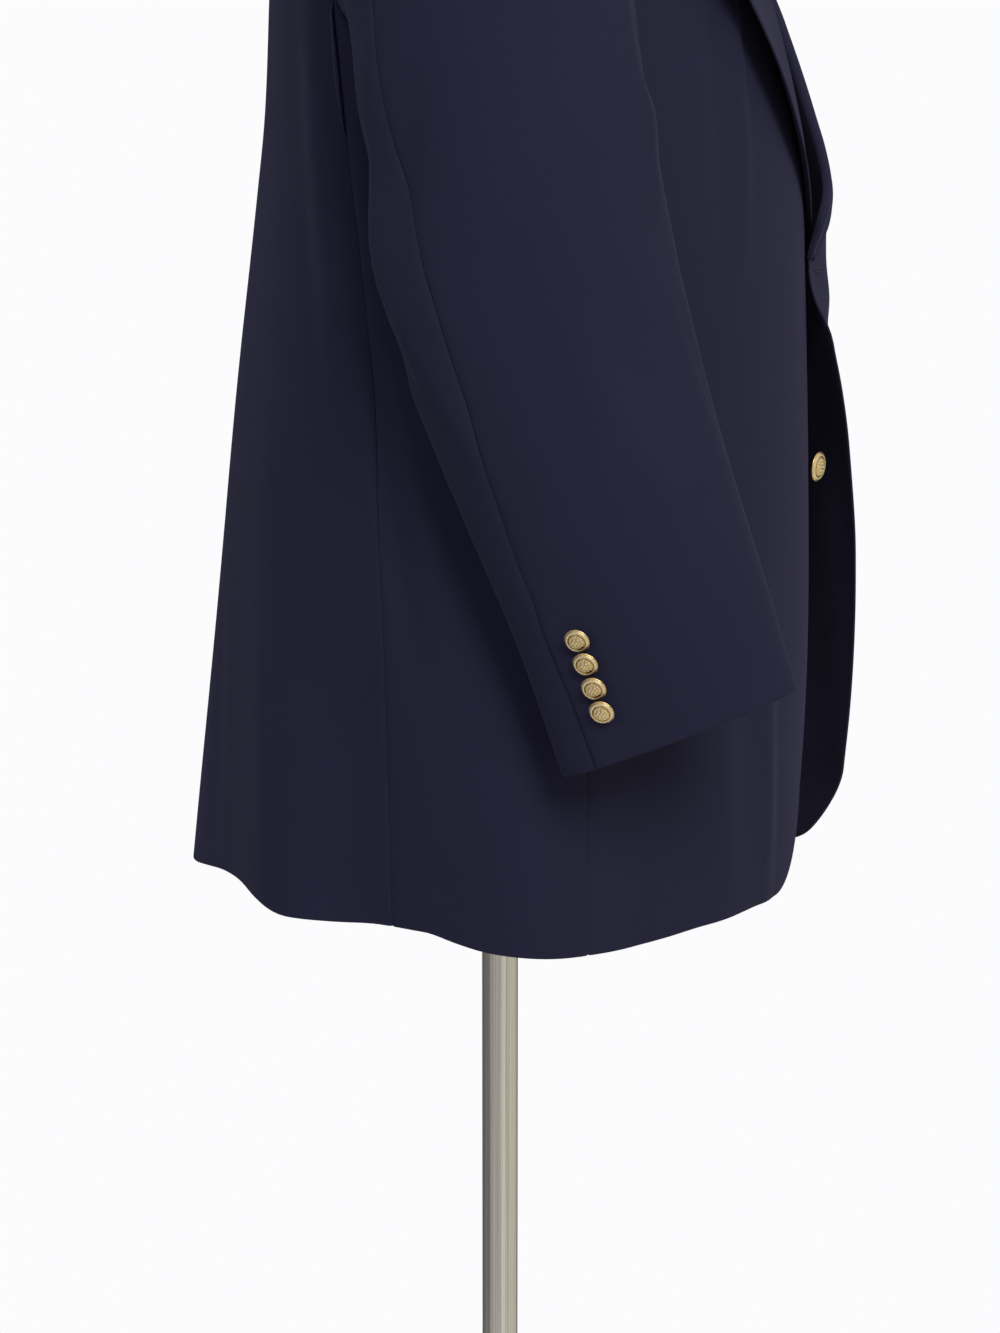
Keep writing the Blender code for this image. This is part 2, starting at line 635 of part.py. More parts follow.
def lapel(side):
    meets = armhole_meets(SIDE_FRONT_SEAM, ARMHOLE_FRONT_DEG)
    levels = [BREAK_LEVEL] + [level for level in BODY_LEVELS if level > BREAK_LEVEL] + [meets]
    levels += [level for level in FRONT_ARMHOLE_LEVELS if level < LAPEL_TOP_LEVEL] + [LAPEL_TOP_LEVEL]
    shares = (0.0, 0.16, 0.36, 0.58, 0.80, 1.0)
    rows = []
    for level in levels:
        width = smooth(LAPEL_WIDTH, level)
        full = mix(BREAK_SHARE, 1.0, min(1.0, (level - BREAK_LEVEL) / FOLD_RISE))
        row = fold(side, front_edge_deg(side, level), level, FOLD_REACH * full, 0.0, full)
        for share in shares:
            place = lapel_level(level, share)
            start = front_edge_deg(side, place)
            deg = start - degrees_for(side, start - 8, place, mix(0.003, width, share))
            row.append(above(side, deg, place, LAPEL_STAND_OFF * full + smooth(LAPEL_LIFT, level) * share**2))
        rows.append(row)
    normals = grid_normals(rows, Vector((0, -1, 0)))
    inner = [[point - normal * WALL for point, normal in zip(*lines)] for lines in zip(rows, normals)]
    return add_wall(f"lapel_{name_of(side)}", rows, inner)


def neck_path():
    """(side, angle, level) along the roll line, from the right gorge round the neck to the left one."""
    half = []
    for level in (COLLAR_FRONT_LEVEL, 1.442, 1.447, 1.458, 1.469, 1.480, 1.490, 1.497):
        half.append((front_edge_deg(RIGHT, level), level))
    for deg in (99, 85, 71, 57, 43, 29, 14):
        half.append((deg, NECK_LEVEL))
    path = [(RIGHT, deg, level) for deg, level in half] + [(RIGHT, 0.0, NECK_LEVEL)]
    return path + [(LEFT, deg, level) for deg, level in reversed(half)]


def walk(side, deg, level, distance, down):
    """The place that far over the cloth: straight down it if down is 1, level round it if 0."""
    walked, here = 0.0, ring_point(side, deg, level)
    while walked < distance:
        deg -= (1 - down) * degrees_for(side, deg, level, 0.001)
        level -= down * 0.0006
        there = ring_point(side, deg, level)
        walked += (there - here).length
        here = there
    return deg, level


def collar():
    rows = []
    for side, deg, level in neck_path():
        turn = max(0.0, min(1.0, (136 - deg) / 70)) if level >= NECK_LEVEL else max(0.0, (level - 1.46) * 8)
        to_back = min(1.0, turn) ** 0.8
        reach = mix(FOLD_REACH, COLLAR_STAND, to_back)
        row = fold(side, deg, level, reach, to_back)
        base, along, out = fold_frame(side, deg, level, to_back)
        share, height = FOLD_SECTION[0]
        row[0] = base + along * FOLD_REACH * share + out * height
        top = row[-1]
        lap = mix(COLLAR_LAP_FRONT, COLLAR_LAP_BACK, to_back)
        for share in COLLAR_LAPS:
            lain = walk(side, deg, level, max(0.0025, lap * share), to_back)
            lies = above(side, *lain, COLLAR_STAND_OFF)
            foot = above(side, *walk(side, deg, level, lap, to_back), COLLAR_STAND_OFF)
            hangs = mix(top, foot, mix(0.12, 1, share))
            row.append(mix(lies, hangs, min(1.0, to_back * 1.6)))
        rows.append(row)
    normals = grid_normals(rows, Vector((0, 1, 0)))
    inner = [[point - normal * WALL for point, normal in zip(*lines)] for lines in zip(rows, normals)]
    return add_wall("collar", rows, inner)


# Sleeves


def oval_at(along):
    """The oval a share of the way down the sleeve, as in SLEEVE."""
    last = len(SLEEVE) - 1
    place = along * last
    values = {}
    for name in Oval._fields:
        curve = [(k, getattr(row, name)) for k, row in enumerate(SLEEVE)]
        values[name] = smooth(curve, place)
    return Oval(**values)


def sleeve_point(side, along, turn_deg):
    """A point on a sleeve's outer face. along is 0 at the first oval and 1 at the cuff."""
    oval = oval_at(along)
    turn = math.radians(turn_deg)
    lean = math.radians(oval.lean_deg)
    under = Vector((oval.under_x, 0, oval.under_z))
    over = Vector((oval.over_x, 0, oval.over_z))
    forward = Vector((0, -math.cos(lean), math.sin(lean)))
    point = mix(under, over, (1 + math.sin(turn)) / 2) + Vector((0, oval.y, 0))
    point += forward * oval.half_width * math.cos(turn)
    middle = (under + over) / 2 + Vector((0, oval.y, 0))
    out = (point - middle).normalized()
    for place, deg, half_length, half_width, depth in SLEEVE_FOLDS:
        away = (turn_deg - deg + 180) % 360 - 180
        point += out * depth * hump((along - place) / half_length) * hump(away / half_width)
    return Vector((point.x * -side, point.y, point.z))


def armhole_start(side, turn_deg):
    """Where the sleeve begins, just off the armhole's edge, and the way to the armhole's middle."""
    deg, level = armhole_point(turn_deg)
    edge = ring_point(side, deg, level)
    middle = ring_point(side, 90.0, (SHOULDER_LEVEL + ARMPIT_LEVEL) / 2)
    normal = normal_at(side, deg, level)
    inner = middle - edge
    inner = (inner - normal * inner.dot(normal)).normalized()
    return edge + (normal + inner) * SEAM_GAP * 1.4, inner


def sleeve_normal(side, along, turn):
    low, high = min(along + 0.01, 1.0), max(along - 0.01, 0.0)
    down = sleeve_point(side, low, turn) - sleeve_point(side, high, turn)
    around = sleeve_point(side, along, turn + 2) - sleeve_point(side, along, turn - 2)
    return (around.cross(down) * -side).normalized()


def sleeve_panel(name, side, turns, start, end):
    """A sleeve piece between two seams, with its columns at the armhole's corners."""
    outer, inner = [], []
    for row in range(SLEEVE_ROWS + 1):
        along = max(0.0, (row - 1) / (SLEEVE_ROWS - 1))
        gap = math.degrees(SEAM_GAP / 2 / 0.045)
        outer_row, inner_row = [], []
        for turn in turns:
            share = (turn - turns[0]) / (turns[-1] - turns[0])
            place = mix(start(along) + gap, end(along) - gap, share)
            if row == 0:
                point, inwards = armhole_start(side, place)
            else:
                point, inwards = sleeve_point(side, along, place), -sleeve_normal(side, along, place)
            outer_row.append(point)
            inner_row.append(point + inwards * WALL)
        outer.append(outer_row)
        inner.append(inner_row)
    return add_wall(f"{name}_{name_of(side)}", outer, inner)


def hindarm(along):
    return smooth(HINDARM_SEAM_DEG, along)


def forearm(along):
    return FOREARM_SEAM_DEG


def forearm_again(along):
    return FOREARM_SEAM_DEG + 360


def sleeves(side):
    turns = armhole_turns()
    seam = min(range(len(turns)), key=lambda i: abs(turns[i] - hindarm(0)))
    sleeve_panel("sleeve_upper", side, turns[: seam + 1], forearm, hindarm)
    sleeve_panel("sleeve_under", side, turns[seam:], hindarm, forearm_again)


# Pocket flaps


def pocket_flap(side):
    columns, steps = 7, 3
    rows = []
    for step in range(steps + 1):
        line = []
        for i in range(columns + 1):
            across = i / columns
            deg = mix(FLAP_START_DEG, FLAP_END_DEG, across)
            top = FLAP_LEVEL - FLAP_TILT * across
            level = top - FLAP_DEPTH * (1 - step / steps)
            line.append(above(side, deg, level, 0.0006 + WALL + 0.0012 * (1 - step / steps)))
        rows.append(line)
    normals = grid_normals(rows, normal_at(side, (FLAP_START_DEG + FLAP_END_DEG) / 2, FLAP_LEVEL))
    inner = [[point - normal * WALL for point, normal in zip(*lines)] for lines in zip(rows, normals)]
    return add_wall(f"flap_{name_of(side)}", rows, inner)


# Buttons


def button_mesh(button):
    """Half a button's section, for Screw: a domed head on a shank."""
    radius, head, lift = button.diameter / 2, button.head, button.lift
    outline = (
        (0.0, lift + head),
        (radius * 0.55, lift + head * 0.88),
        (radius * 0.90, lift + head * 0.52),
        (radius, lift + head * 0.18),
        (radius * 0.94, lift),
        (SHANK_RADIUS, lift),
        (SHANK_RADIUS, button.foot),
        (0.0, button.foot),
    )
    mesh = bpy.data.meshes.new(f"button_{round(button.diameter * 1000)}")
    mesh.from_pydata([(x, 0, z) for x, z in outline], [(i, i + 1) for i in range(len(outline) - 1)], [])
    return mesh


def add_button(name, mesh, button, point, normal):
    thing = add_object(name, mesh, "gilt")
    lean = math.radians(button.lean_deg)
    towards = Vector(button.lean_to)
    towards = (towards - normal * towards.dot(normal)).normalized()
    axis = normal * math.cos(lean) + towards * math.sin(lean)
    thing.location = point
    thing.rotation_mode = "QUATERNION"
    thing.rotation_quaternion = axis.to_track_quat("Z", "Y")
    turned = thing.modifiers.new("Turned", "SCREW")
    turned.steps = turned.render_steps = 14
    turned.use_merge_vertices = True
    turned.merge_threshold = 0.00005
    turned.use_smooth_shade = True
    return thing


def buttons():
    front = (("top", TOP_BUTTON, TOP_BUTTON_LEVEL), ("lower", LOWER_BUTTON, LOWER_BUTTON_LEVEL))
    for name, button, level in front:
        point, normal = ring_point(RIGHT, 180.0, level), normal_at(RIGHT, 180.0, level)
        add_button(f"front_button_{name}", button_mesh(button), button, point, normal)
    cuff = button_mesh(CUFF_BUTTON)
    for side in (RIGHT, LEFT):
        for i in range(CUFF_BUTTONS):
            along, turn = cuff_button_place(side, i)
            point, normal = sleeve_point(side, along, turn), sleeve_normal(side, along, turn)
            add_button(f"cuff_button_{name_of(side)}_{i + 1}", cuff, CUFF_BUTTON, point, normal)


def cuff_button_place(side, number):
    """(along, turn) of a cuff button, counted up from the cuff."""
    turn = hindarm(1.0) - CUFF_BUTTON_INSET_DEG
    target = CUFF_BUTTON_START + number * CUFF_BUTTON_PITCH
    along, walked = 1.0, 0.0
    here = sleeve_point(side, along, turn)
    while walked < target:
        along -= 0.0005
        there = sleeve_point(side, along, turn)
        walked += (there - here).length
        here = there
    return along, turn


# The dress form and its stand


def smooth_ring(side, deg, level):
    """A ring's point without the coat's folds."""
    turn = math.radians(deg)
    across, along = math.sin(turn), math.cos(turn)
    end = "back" if along > 0 else "front"
    z = mix(ring_size("z_side", level), ring_size(f"z_{end}", level), along * along)
    return Vector((side * ring_size("half_width", level) * across, ring_size(end, level) * along, z))


def form_point(side, deg, level):
    """A point of the form: the ring, moved in by the cloth and by FORM_INSET."""
    along = math.cos(math.radians(deg))
    behind, beside, before = (smooth([(row[0], row[k]) for row in FORM_INSET], level) for k in (1, 2, 3))
    inset = mix(beside, behind if along > 0 else before, along * along) + WALL + FORM_CLEARANCE
    around = smooth_ring(side, deg + 0.6, level) - smooth_ring(side, deg - 0.6, level)
    up = smooth_ring(side, deg, level + 0.002) - smooth_ring(side, deg, level - 0.002)
    normal = (around.cross(up) * -side).normalized()
    if level < 1.30:
        normal.z = 0.0
    return smooth_ring(side, deg, level) - normal * inset


def loft(name, rings, material):
    """A closed solid through rings of points, with a flat cap at each end."""
    mesh = bpy.data.meshes.new(name)
    solid = bmesh.new()
    loops = [[solid.verts.new(point) for point in ring] for ring in rings]
    for low, high in zip(loops, loops[1:]):
        for i in range(len(low)):
            j = (i + 1) % len(low)
            solid.faces.new((low[i], low[j], high[j], high[i]))
    solid.faces.new(list(reversed(loops[0])))
    solid.faces.new(loops[-1])
    bmesh.ops.recalc_face_normals(solid, faces=solid.faces)
    solid.to_mesh(mesh)
    solid.free()
    mesh.shade_smooth()
    return add_object(name, mesh, material)


def form_degs(level):
    """The angles of the form's corners on one side: under the cloth's columns, then to the centre front."""
    edge = front_edge_deg(RIGHT, max(level, 1.25))
    degs = [90 * i / BACK_COLUMNS for i in range(BACK_COLUMNS)]
    degs += [mix(90, edge, i / FRONT_COLUMNS) for i in range(FRONT_COLUMNS + 1)]
    return degs + [mix(edge, 180, i / 3) for i in (1, 2, 3)]


def torso():
    lower = (FORM_BOTTOM, 0.808, 0.84, 0.92, 1.00, 1.08, 1.16, 1.24, 1.31, 1.37, 1.41, 1.43)
    rings = []
    for level in lower + (1.442, 1.447) + YOKE_LEVELS:
        shrink = 0.96 if level == FORM_BOTTOM else 1.0
        degs = form_degs(level)
        ring = [form_point(RIGHT, deg, level) for deg in degs]
        ring += [form_point(LEFT, deg, level) for deg in degs[-2:0:-1]]
        rings.append([Vector((point.x * shrink, point.y * shrink, point.z)) for point in ring])
    last = rings[-1]
    for height, scale in ((1.514, 1.05), (1.530, 1.0), (1.546, 1.0), (NECK_TOP, 1.0)):
        ring = []
        for i in range(len(last)):
            turn = math.atan2(last[i].x, last[i].y - NECK_Y)
            radius = NECK_RADIUS * scale
            ring.append(Vector((radius * math.sin(turn), NECK_Y + radius * math.cos(turn), height)))
        rings.append(ring)
    return loft("form_torso", rings, "linen")


def turned(name, outline, material, steps=40):
    mesh = bpy.data.meshes.new(name)
    mesh.from_pydata([(x, 0, z) for x, z in outline], [(i, i + 1) for i in range(len(outline) - 1)], [])
    thing = add_object(name, mesh, material)
    screw = thing.modifiers.new("Turned", "SCREW")
    screw.steps = screw.render_steps = steps
    screw.use_merge_vertices = True
    screw.merge_threshold = 0.00005
    screw.use_smooth_shade = True
    return thing


def stand():
    edge = 0.002
    cap_foot = NECK_TOP + SEAM_GAP
    cap = turned("neck_cap", (
        (0.0, cap_foot + CAP_HEIGHT),
        (CAP_RADIUS - 0.004, cap_foot + CAP_HEIGHT),
        (CAP_RADIUS, cap_foot + CAP_HEIGHT - 0.004),
        (CAP_RADIUS, cap_foot),
        (0.0, cap_foot),
    ), "steel")
    cap.location.y = NECK_Y
    base_top = BASE_HEIGHT
    turned("base", (
        (0.0, base_top),
        (BASE_RADIUS - 0.004, base_top),
        (BASE_RADIUS, base_top - 0.004),
        (BASE_RADIUS, edge),
        (BASE_RADIUS - edge, 0.0),
        (0.0, 0.0),
    ), "steel", steps=48)
    hub_foot = base_top + SEAM_GAP
    turned("hub", (
        (POLE_RADIUS + SEAM_GAP, hub_foot + HUB_HEIGHT),
        (HUB_RADIUS - 0.003, hub_foot + HUB_HEIGHT),
        (HUB_RADIUS, hub_foot + HUB_HEIGHT - 0.003),
        (HUB_RADIUS, hub_foot),
        (POLE_RADIUS + SEAM_GAP, hub_foot),
        (POLE_RADIUS + SEAM_GAP, hub_foot + HUB_HEIGHT),
    ), "steel", steps=24)
    length = FORM_BOTTOM - SEAM_GAP - hub_foot
    mesh = bpy.data.meshes.new("pole")
    rod = bmesh.new()
    bmesh.ops.create_cone(
        rod, cap_ends=True, segments=28, radius1=POLE_RADIUS, radius2=POLE_RADIUS, depth=length
    )
    rod.to_mesh(mesh)
    rod.free()
    add_object("pole", mesh, "steel").location.z = hub_foot + length / 2


def name_of(side):
    return "right" if side == RIGHT else "left"


def main():
    for side in (RIGHT, LEFT):
        back_panel(side)
        side_panel(side)
        front_panel(side)
        lapel(side)
        sleeves(side)
        pocket_flap(side)
    collar()
    buttons()
    torso()
    stand()


clear_scene()
COLLECTION = bpy.data.collections.new("blazer_on_dress_form")
bpy.context.scene.collection.children.link(COLLECTION)
MATERIALS = {name: make_material(name) for name in COLOURS}
main()
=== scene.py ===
"""The looks of a navy blazer on a limbless dress form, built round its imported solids.

Metres, +Z up, the garment facing -Y and the wearer's right at -X. The cloth is
made from the same tables as the solids, more finely, with seams, hems, creases
and a twill weave. The metal buttons get a rope rim and a plain rosette.
"""

import math
from collections import namedtuple
from functools import lru_cache

import bmesh
import bpy
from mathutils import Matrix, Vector

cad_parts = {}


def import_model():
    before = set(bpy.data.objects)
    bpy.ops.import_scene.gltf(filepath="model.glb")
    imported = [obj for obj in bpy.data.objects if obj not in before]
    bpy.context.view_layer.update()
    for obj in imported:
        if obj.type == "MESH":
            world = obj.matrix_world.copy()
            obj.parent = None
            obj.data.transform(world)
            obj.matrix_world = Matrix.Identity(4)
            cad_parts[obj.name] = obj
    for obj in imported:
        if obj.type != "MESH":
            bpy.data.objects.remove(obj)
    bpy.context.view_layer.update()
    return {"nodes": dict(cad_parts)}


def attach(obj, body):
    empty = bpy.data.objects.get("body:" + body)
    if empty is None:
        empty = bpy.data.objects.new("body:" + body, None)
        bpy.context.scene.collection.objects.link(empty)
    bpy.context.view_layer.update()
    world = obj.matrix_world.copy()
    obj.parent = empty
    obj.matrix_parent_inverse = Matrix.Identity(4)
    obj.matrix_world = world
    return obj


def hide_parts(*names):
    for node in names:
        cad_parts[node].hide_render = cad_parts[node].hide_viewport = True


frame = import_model()

RIGHT, LEFT = -1, 1
SIDES = (RIGHT, LEFT)
SEAM_GAP = 0.0003
CLOTH = 0.0016
STEP = 0.0050
MILLIMETRE = 0.001
FORWARD, BACKWARD = Vector((0, -1, 0)), Vector((0, 1, 0))
SEWN_EDGES = ("start", "end", "high")

# The body of the coat, as level rings that rise over the shoulders to the neck.
# z_back, z_side and z_front are the heights of a ring behind, beside and before
# the wearer. half_width is along X, and back and front are along +Y and -Y.
Ring = namedtuple("Ring", "level z_back z_side z_front half_width back front")
RINGS = (
    Ring(0.700, 0.700, 0.700, 0.700, 0.2340, 0.2160, 0.2030),
    Ring(0.800, 0.800, 0.800, 0.800, 0.2290, 0.2050, 0.2065),
    Ring(0.900, 0.900, 0.900, 0.900, 0.2240, 0.1930, 0.2075),
    Ring(1.000, 1.000, 1.000, 1.000, 0.2170, 0.1805, 0.2058),
    Ring(1.100, 1.100, 1.100, 1.100, 0.2100, 0.1673, 0.2025),
    Ring(1.180, 1.180, 1.180, 1.180, 0.2065, 0.1567, 0.1992),
    Ring(1.235, 1.235, 1.235, 1.235, 0.2055, 0.1503, 0.1915),
    Ring(1.340, 1.346, 1.340, 1.330, 0.2100, 0.1435, 0.1700),
    Ring(1.400, 1.412, 1.400, 1.385, 0.2170, 0.1300, 0.1440),
    Ring(1.425, 1.438, 1.425, 1.408, 0.2205, 0.1200, 0.1290),
    Ring(1.447, 1.460, 1.447, 1.428, 0.2150, 0.1080, 0.1130),
    Ring(1.462, 1.474, 1.460, 1.441, 0.1860, 0.1000, 0.0995),
    Ring(1.475, 1.487, 1.472, 1.453, 0.1500, 0.0930, 0.0870),
    Ring(1.497, 1.506, 1.497, 1.480, 0.0880, 0.0750, 0.0640),
)
ARMPIT_LEVEL, SHOULDER_LEVEL, NECK_LEVEL = 1.235, 1.447, 1.497
ARMHOLE_MIDDLE = (SHOULDER_LEVEL + ARMPIT_LEVEL) / 2
ARMHOLE_HALF = (SHOULDER_LEVEL - ARMPIT_LEVEL) / 2

# The armhole, an oval round the side of the rings, in degrees before and behind 90
ARMHOLE_FRONT_DEG, ARMHOLE_BACK_DEG = 25.0, 34.0

# Seams of the body: the angle from the centre back, in degrees, at each level
SIDE_BACK_SEAM = (
    (0.70, 80.0), (0.90, 78.0), (0.98, 76.4), (1.05, 74.8), (1.10, 72.5), (1.14, 70.2), (1.18, 67.3),
    (1.21, 65.2), (1.30, 59.6),
)
SIDE_FRONT_SEAM = ((0.70, 113.0), (0.95, 112.0), (1.10, 110.0), (1.30, 108.0))

# Height of the hem at each angle from the centre back
HEM = (
    (0, 0.7405), (10, 0.7415), (20, 0.7460), (30, 0.7500), (40, 0.7510), (50, 0.7480), (58, 0.7435),
    (66, 0.7430), (75, 0.7445), (84, 0.7450), (90, 0.7410), (96, 0.7375), (104, 0.7360), (112, 0.7350),
    (120, 0.7335), (128, 0.7355), (136, 0.7385), (150, 0.7400), (165, 0.7390), (180, 0.7330),
)
# The left hem falls from here to the front edge
HEM_LEVEL, LEFT_DROP_FROM_DEG, LEFT_HEM_DROP = 0.74, 110, 0.006

# The front edge: how far it passes the centre front, towards the other side.
# Above BREAK_LEVEL it is the roll line, on which the lapel turns back.
BREAK_LEVEL = 1.165
ROLL = (
    (1.165, 0.016), (1.20, -0.010), (1.25, -0.034), (1.30, -0.054), (1.35, -0.067), (1.40, -0.075),
    (1.447, -0.079), (1.475, -0.0795), (1.497, -0.0800),
)
FRONT_EDGE = {
    RIGHT: ((0.80, -0.036), (0.84, -0.021), (0.90, -0.002), (0.96, 0.011), (1.02, 0.016)) + ROLL,
    LEFT: (
        (0.80, -0.056), (0.84, -0.045), (0.90, -0.034), (0.96, -0.024), (1.007, -0.016), (1.07, 0.003),
        (1.12, 0.016),
    ) + ROLL,
}
CORNER_LEVEL, CORNER_WIDTH = 0.80, 0.052

# The left front stands forward of the right one. Above and at the top button it
# does so most at its crest, and below it hangs open, forward at its edge.
SWING_CREST_X, SWING_END_X, SWING_EDGE_MARGIN = 0.058, 0.175, 0.004
SWING = (
    # level, forward at the crest, forward at the front edge
    (0.70, 0.0130, 0.0130), (0.75, 0.0215, 0.0215), (0.80, 0.0345, 0.0345), (0.86, 0.0290, 0.0352),
    (0.95, 0.0190, 0.0335), (1.02, 0.0130, 0.0280), (1.06, 0.0125, 0.0228), (1.09, 0.0160, 0.0168),
    (1.12, 0.0215, 0.0062), (1.145, 0.0195, 0.0062), (1.19, 0.0190, 0.0150), (1.24, 0.0145, 0.0115),
    (1.31, 0.0080, 0.0075), (1.37, 0.0030, 0.0030), (1.43, 0.0, 0.0),
)

# Soft folds: a line from (low_deg, low) to (high_deg, high), its half width in
# degrees, and how far it stands out (or in, if negative) at its low end.
Fold = namedtuple("Fold", "side low_deg low high_deg high half_width depth")
FOLDS = (
    Fold(RIGHT, 107, 0.70, 100, 1.08, 18, 0.018),
    Fold(RIGHT, 75, 0.70, 62, 1.12, 21, -0.019),
    Fold(RIGHT, 35, 0.70, 30, 1.10, 30, -0.019),
    Fold(RIGHT, 141, 0.70, 146, 1.00, 14, 0.003),
    Fold(LEFT, 104, 0.70, 98, 1.04, 14, 0.013),
    Fold(LEFT, 82, 0.70, 70, 1.12, 12, -0.013),
    Fold(LEFT, 60, 0.70, 54, 1.00, 12, 0.007),
    Fold(LEFT, 36, 0.70, 30, 1.06, 16, -0.010),
)

# Under the arm the back stands out along its seam, and the side panel falls in
Drape = namedtuple("Drape", "offset_deg half_width depth")
UNDERARM_DRAPES = (Drape(-7.0, 8.0, 0.007), Drape(9.0, 9.0, -0.011))
UNDERARM_LOW, UNDERARM_MID, UNDERARM_HIGH = 0.98, 1.19, 1.33

# The sleeve, as ovals down the arm. over is the outer or upper point of an oval
# and under the inner or lower one, on the wearer's right. y is its middle.
Oval = namedtuple("Oval", "over_x over_z under_x under_z y half_width lean_deg")
SLEEVE = (
    Oval(-0.2425, 1.4395, -0.2075, 1.2315, -0.008, 0.0770, 0),
    Oval(-0.2710, 1.4120, -0.2090, 1.2260, -0.014, 0.0795, 0),
    Oval(-0.2835, 1.3620, -0.2100, 1.2190, -0.0235, 0.0780, 2),
    Oval(-0.2880, 1.3050, -0.2110, 1.2090, -0.0305, 0.0780, 4),
    Oval(-0.2885, 1.2450, -0.2120, 1.1940, -0.0353, 0.0788, 6),
    Oval(-0.2875, 1.1800, -0.2130, 1.1600, -0.0460, 0.0775, 8),
    Oval(-0.2865, 1.1200, -0.2140, 1.1130, -0.0520, 0.0828, 11),
    Oval(-0.2860, 1.0600, -0.2150, 1.0570, -0.0700, 0.0785, 16),
    Oval(-0.2850, 1.0000, -0.2165, 1.0000, -0.0910, 0.0745, 19),
    Oval(-0.2830, 0.9400, -0.2190, 0.9400, -0.1135, 0.0715, 20),
    Oval(-0.2800, 0.8720, -0.2220, 0.8720, -0.1360, 0.0702, 22),
)
# The seams, at each share along the sleeve, from the armhole's rows 1.4063 behind and 1.2979 before
HINDARM_SEAM_DEG = (
    (0, 141.98), (0.2, 143.0), (0.43, 143.3), (0.50, 139.8), (0.56, 132.5), (0.62, 126.8), (0.69, 128.2),
    (0.77, 132.4), (0.84, 135.3), (0.90, 135.6), (0.96, 133.0), (1, 132.4),
)
FOREARM_SEAM_DEG, FOREARM_AGAIN_DEG = ((0, -23.99),), ((0, 360 - 23.99),)
SLEEVE_LENGTH, SLEEVE_RADIUS = 0.60, 0.045
SLEEVE_FOLDS = (
    # along the sleeve, round it in degrees, half length, half width in degrees, depth
    (0.52, 172, 0.085, 34, 0.007), (0.63, 178, 0.05, 30, -0.004), (0.58, 16, 0.07, 30, -0.004),
    (0.45, 8, 0.05, 26, 0.003), (0.30, 60, 0.10, 30, 0.003), (0.72, 45, 0.10, 34, -0.003),
)

# Lapels: how far the free edge lies from the roll line, and how high it stands
LAPEL_WIDTH = (
    (1.165, 0.012), (1.185, 0.030), (1.21, 0.048), (1.25, 0.064), (1.30, 0.078), (1.36, 0.089),
    (1.428, 0.096),
)
LAPEL_TOP_LEVEL, LAPEL_TOP_FALL = 1.428, 0.030
LAPEL_STAND_OFF = 0.0048
LAPEL_LIFT = ((1.165, 0.002), (1.21, 0.009), (1.29, 0.017), (1.34, 0.015), (1.39, 0.009), (1.428, 0.006))
# Section of a fold: share of its reach beyond the cloth's edge, and height above the cloth
FOLD_REACH, FOLD_RISE, BREAK_SHARE = 0.0054, 0.055, 0.68
FOLD_SECTION = (
    (0.20, -0.0024), (0.62, -0.0020), (0.92, -0.0004), (1.00, 0.0018), (0.80, 0.0040), (0.30, 0.0050),
)

# Collar: a stand that rises from the neck edge, and a fall that covers it and
# lies that far down the cloth beyond the edge
COLLAR_STAND, COLLAR_LAP_BACK, COLLAR_LAP_FRONT = 0.030, 0.016, 0.052
COLLAR_FRONT_LEVEL, COLLAR_LEAN, COLLAR_STAND_OFF = 1.4315, 0.22, 0.0056
COLLAR_LAPS = (0.0, 0.33, 0.66, 1.0)
COLLAR_LEAST_LAP, COLLAR_HANG_START, COLLAR_HANG_RATE = 0.0025, 0.12, 1.6
# Where the fold begins to turn upright: a level up the roll line, an angle round the neck
COLLAR_RISE_FROM, COLLAR_RISE_RATE = 1.46, 8
COLLAR_TURN_FROM_DEG, COLLAR_TURN_SPAN_DEG = 136, 70

# Hip pocket flaps
FLAP_LEVEL, FLAP_DEPTH, FLAP_START_DEG, FLAP_END_DEG, FLAP_TILT = 0.975, 0.055, 110.0, 142.0, 0.010

# Buttons. lift is the height of the head's back above the cloth along the shank,
# and lean is how far the button leans from the cloth's normal, towards lean_to.
Button = namedtuple("Button", "diameter head lift foot lean_deg lean_to")
TOP_BUTTON = Button(0.020, 0.0032, 0.0018, 0.0003, 0.0, (0, 0, 1))
LOWER_BUTTON = Button(0.020, 0.0040, 0.0066, 0.0012, 26.0, (-1.0, 0, -0.35))
CUFF_BUTTON = Button(0.0146, 0.0034, 0.0040, 0.0010, 20.0, (0, 0, -1))
TOP_BUTTON_LEVEL, LOWER_BUTTON_LEVEL = 1.137, 1.010
CUFF_BUTTONS, CUFF_BUTTON_PITCH, CUFF_BUTTON_START, CUFF_BUTTON_INSET_DEG = 4, 0.0138, 0.0305, 15.0

# Dress form and stand
WALL, FORM_CLEARANCE, FORM_BOTTOM = 0.0020, 0.0006, 0.800
# level, how far the form lies inside the cloth behind, beside and before
FORM_INSET = (
    (0.800, 0.075, 0.050, 0.085), (0.860, 0.062, 0.044, 0.080), (0.940, 0.055, 0.042, 0.076),
    (1.060, 0.060, 0.052, 0.082), (1.160, 0.040, 0.045, 0.070), (1.250, 0.022, 0.035, 0.055),
    (1.340, 0.012, 0.022, 0.030), (1.400, 0.006, 0.012, 0.010), (1.430, 0.004, 0.006, 0.008),
    (1.442, 0.003, 0.004, 0.006), (1.447, 0.0006, 0.0006, 0.002), (1.458, 0.0, 0.0, 0.002),
    (1.475, 0.0, 0.0, 0.002), (1.497, 0.004, 0.004, 0.006),
)
# Below this level the form is moved in without a rise or fall
FORM_LEVEL_BELOW = 1.30
FORM_LEVELS, FORM_ROW, FORM_COLUMNS = (FORM_BOTTOM, 0.84, 1.43, SHOULDER_LEVEL, NECK_LEVEL), 0.012, 30
# The form's lower edge: the share it is drawn in, and how far up
FORM_DRAWN_IN, FORM_ROUNDED = 0.04, 0.010
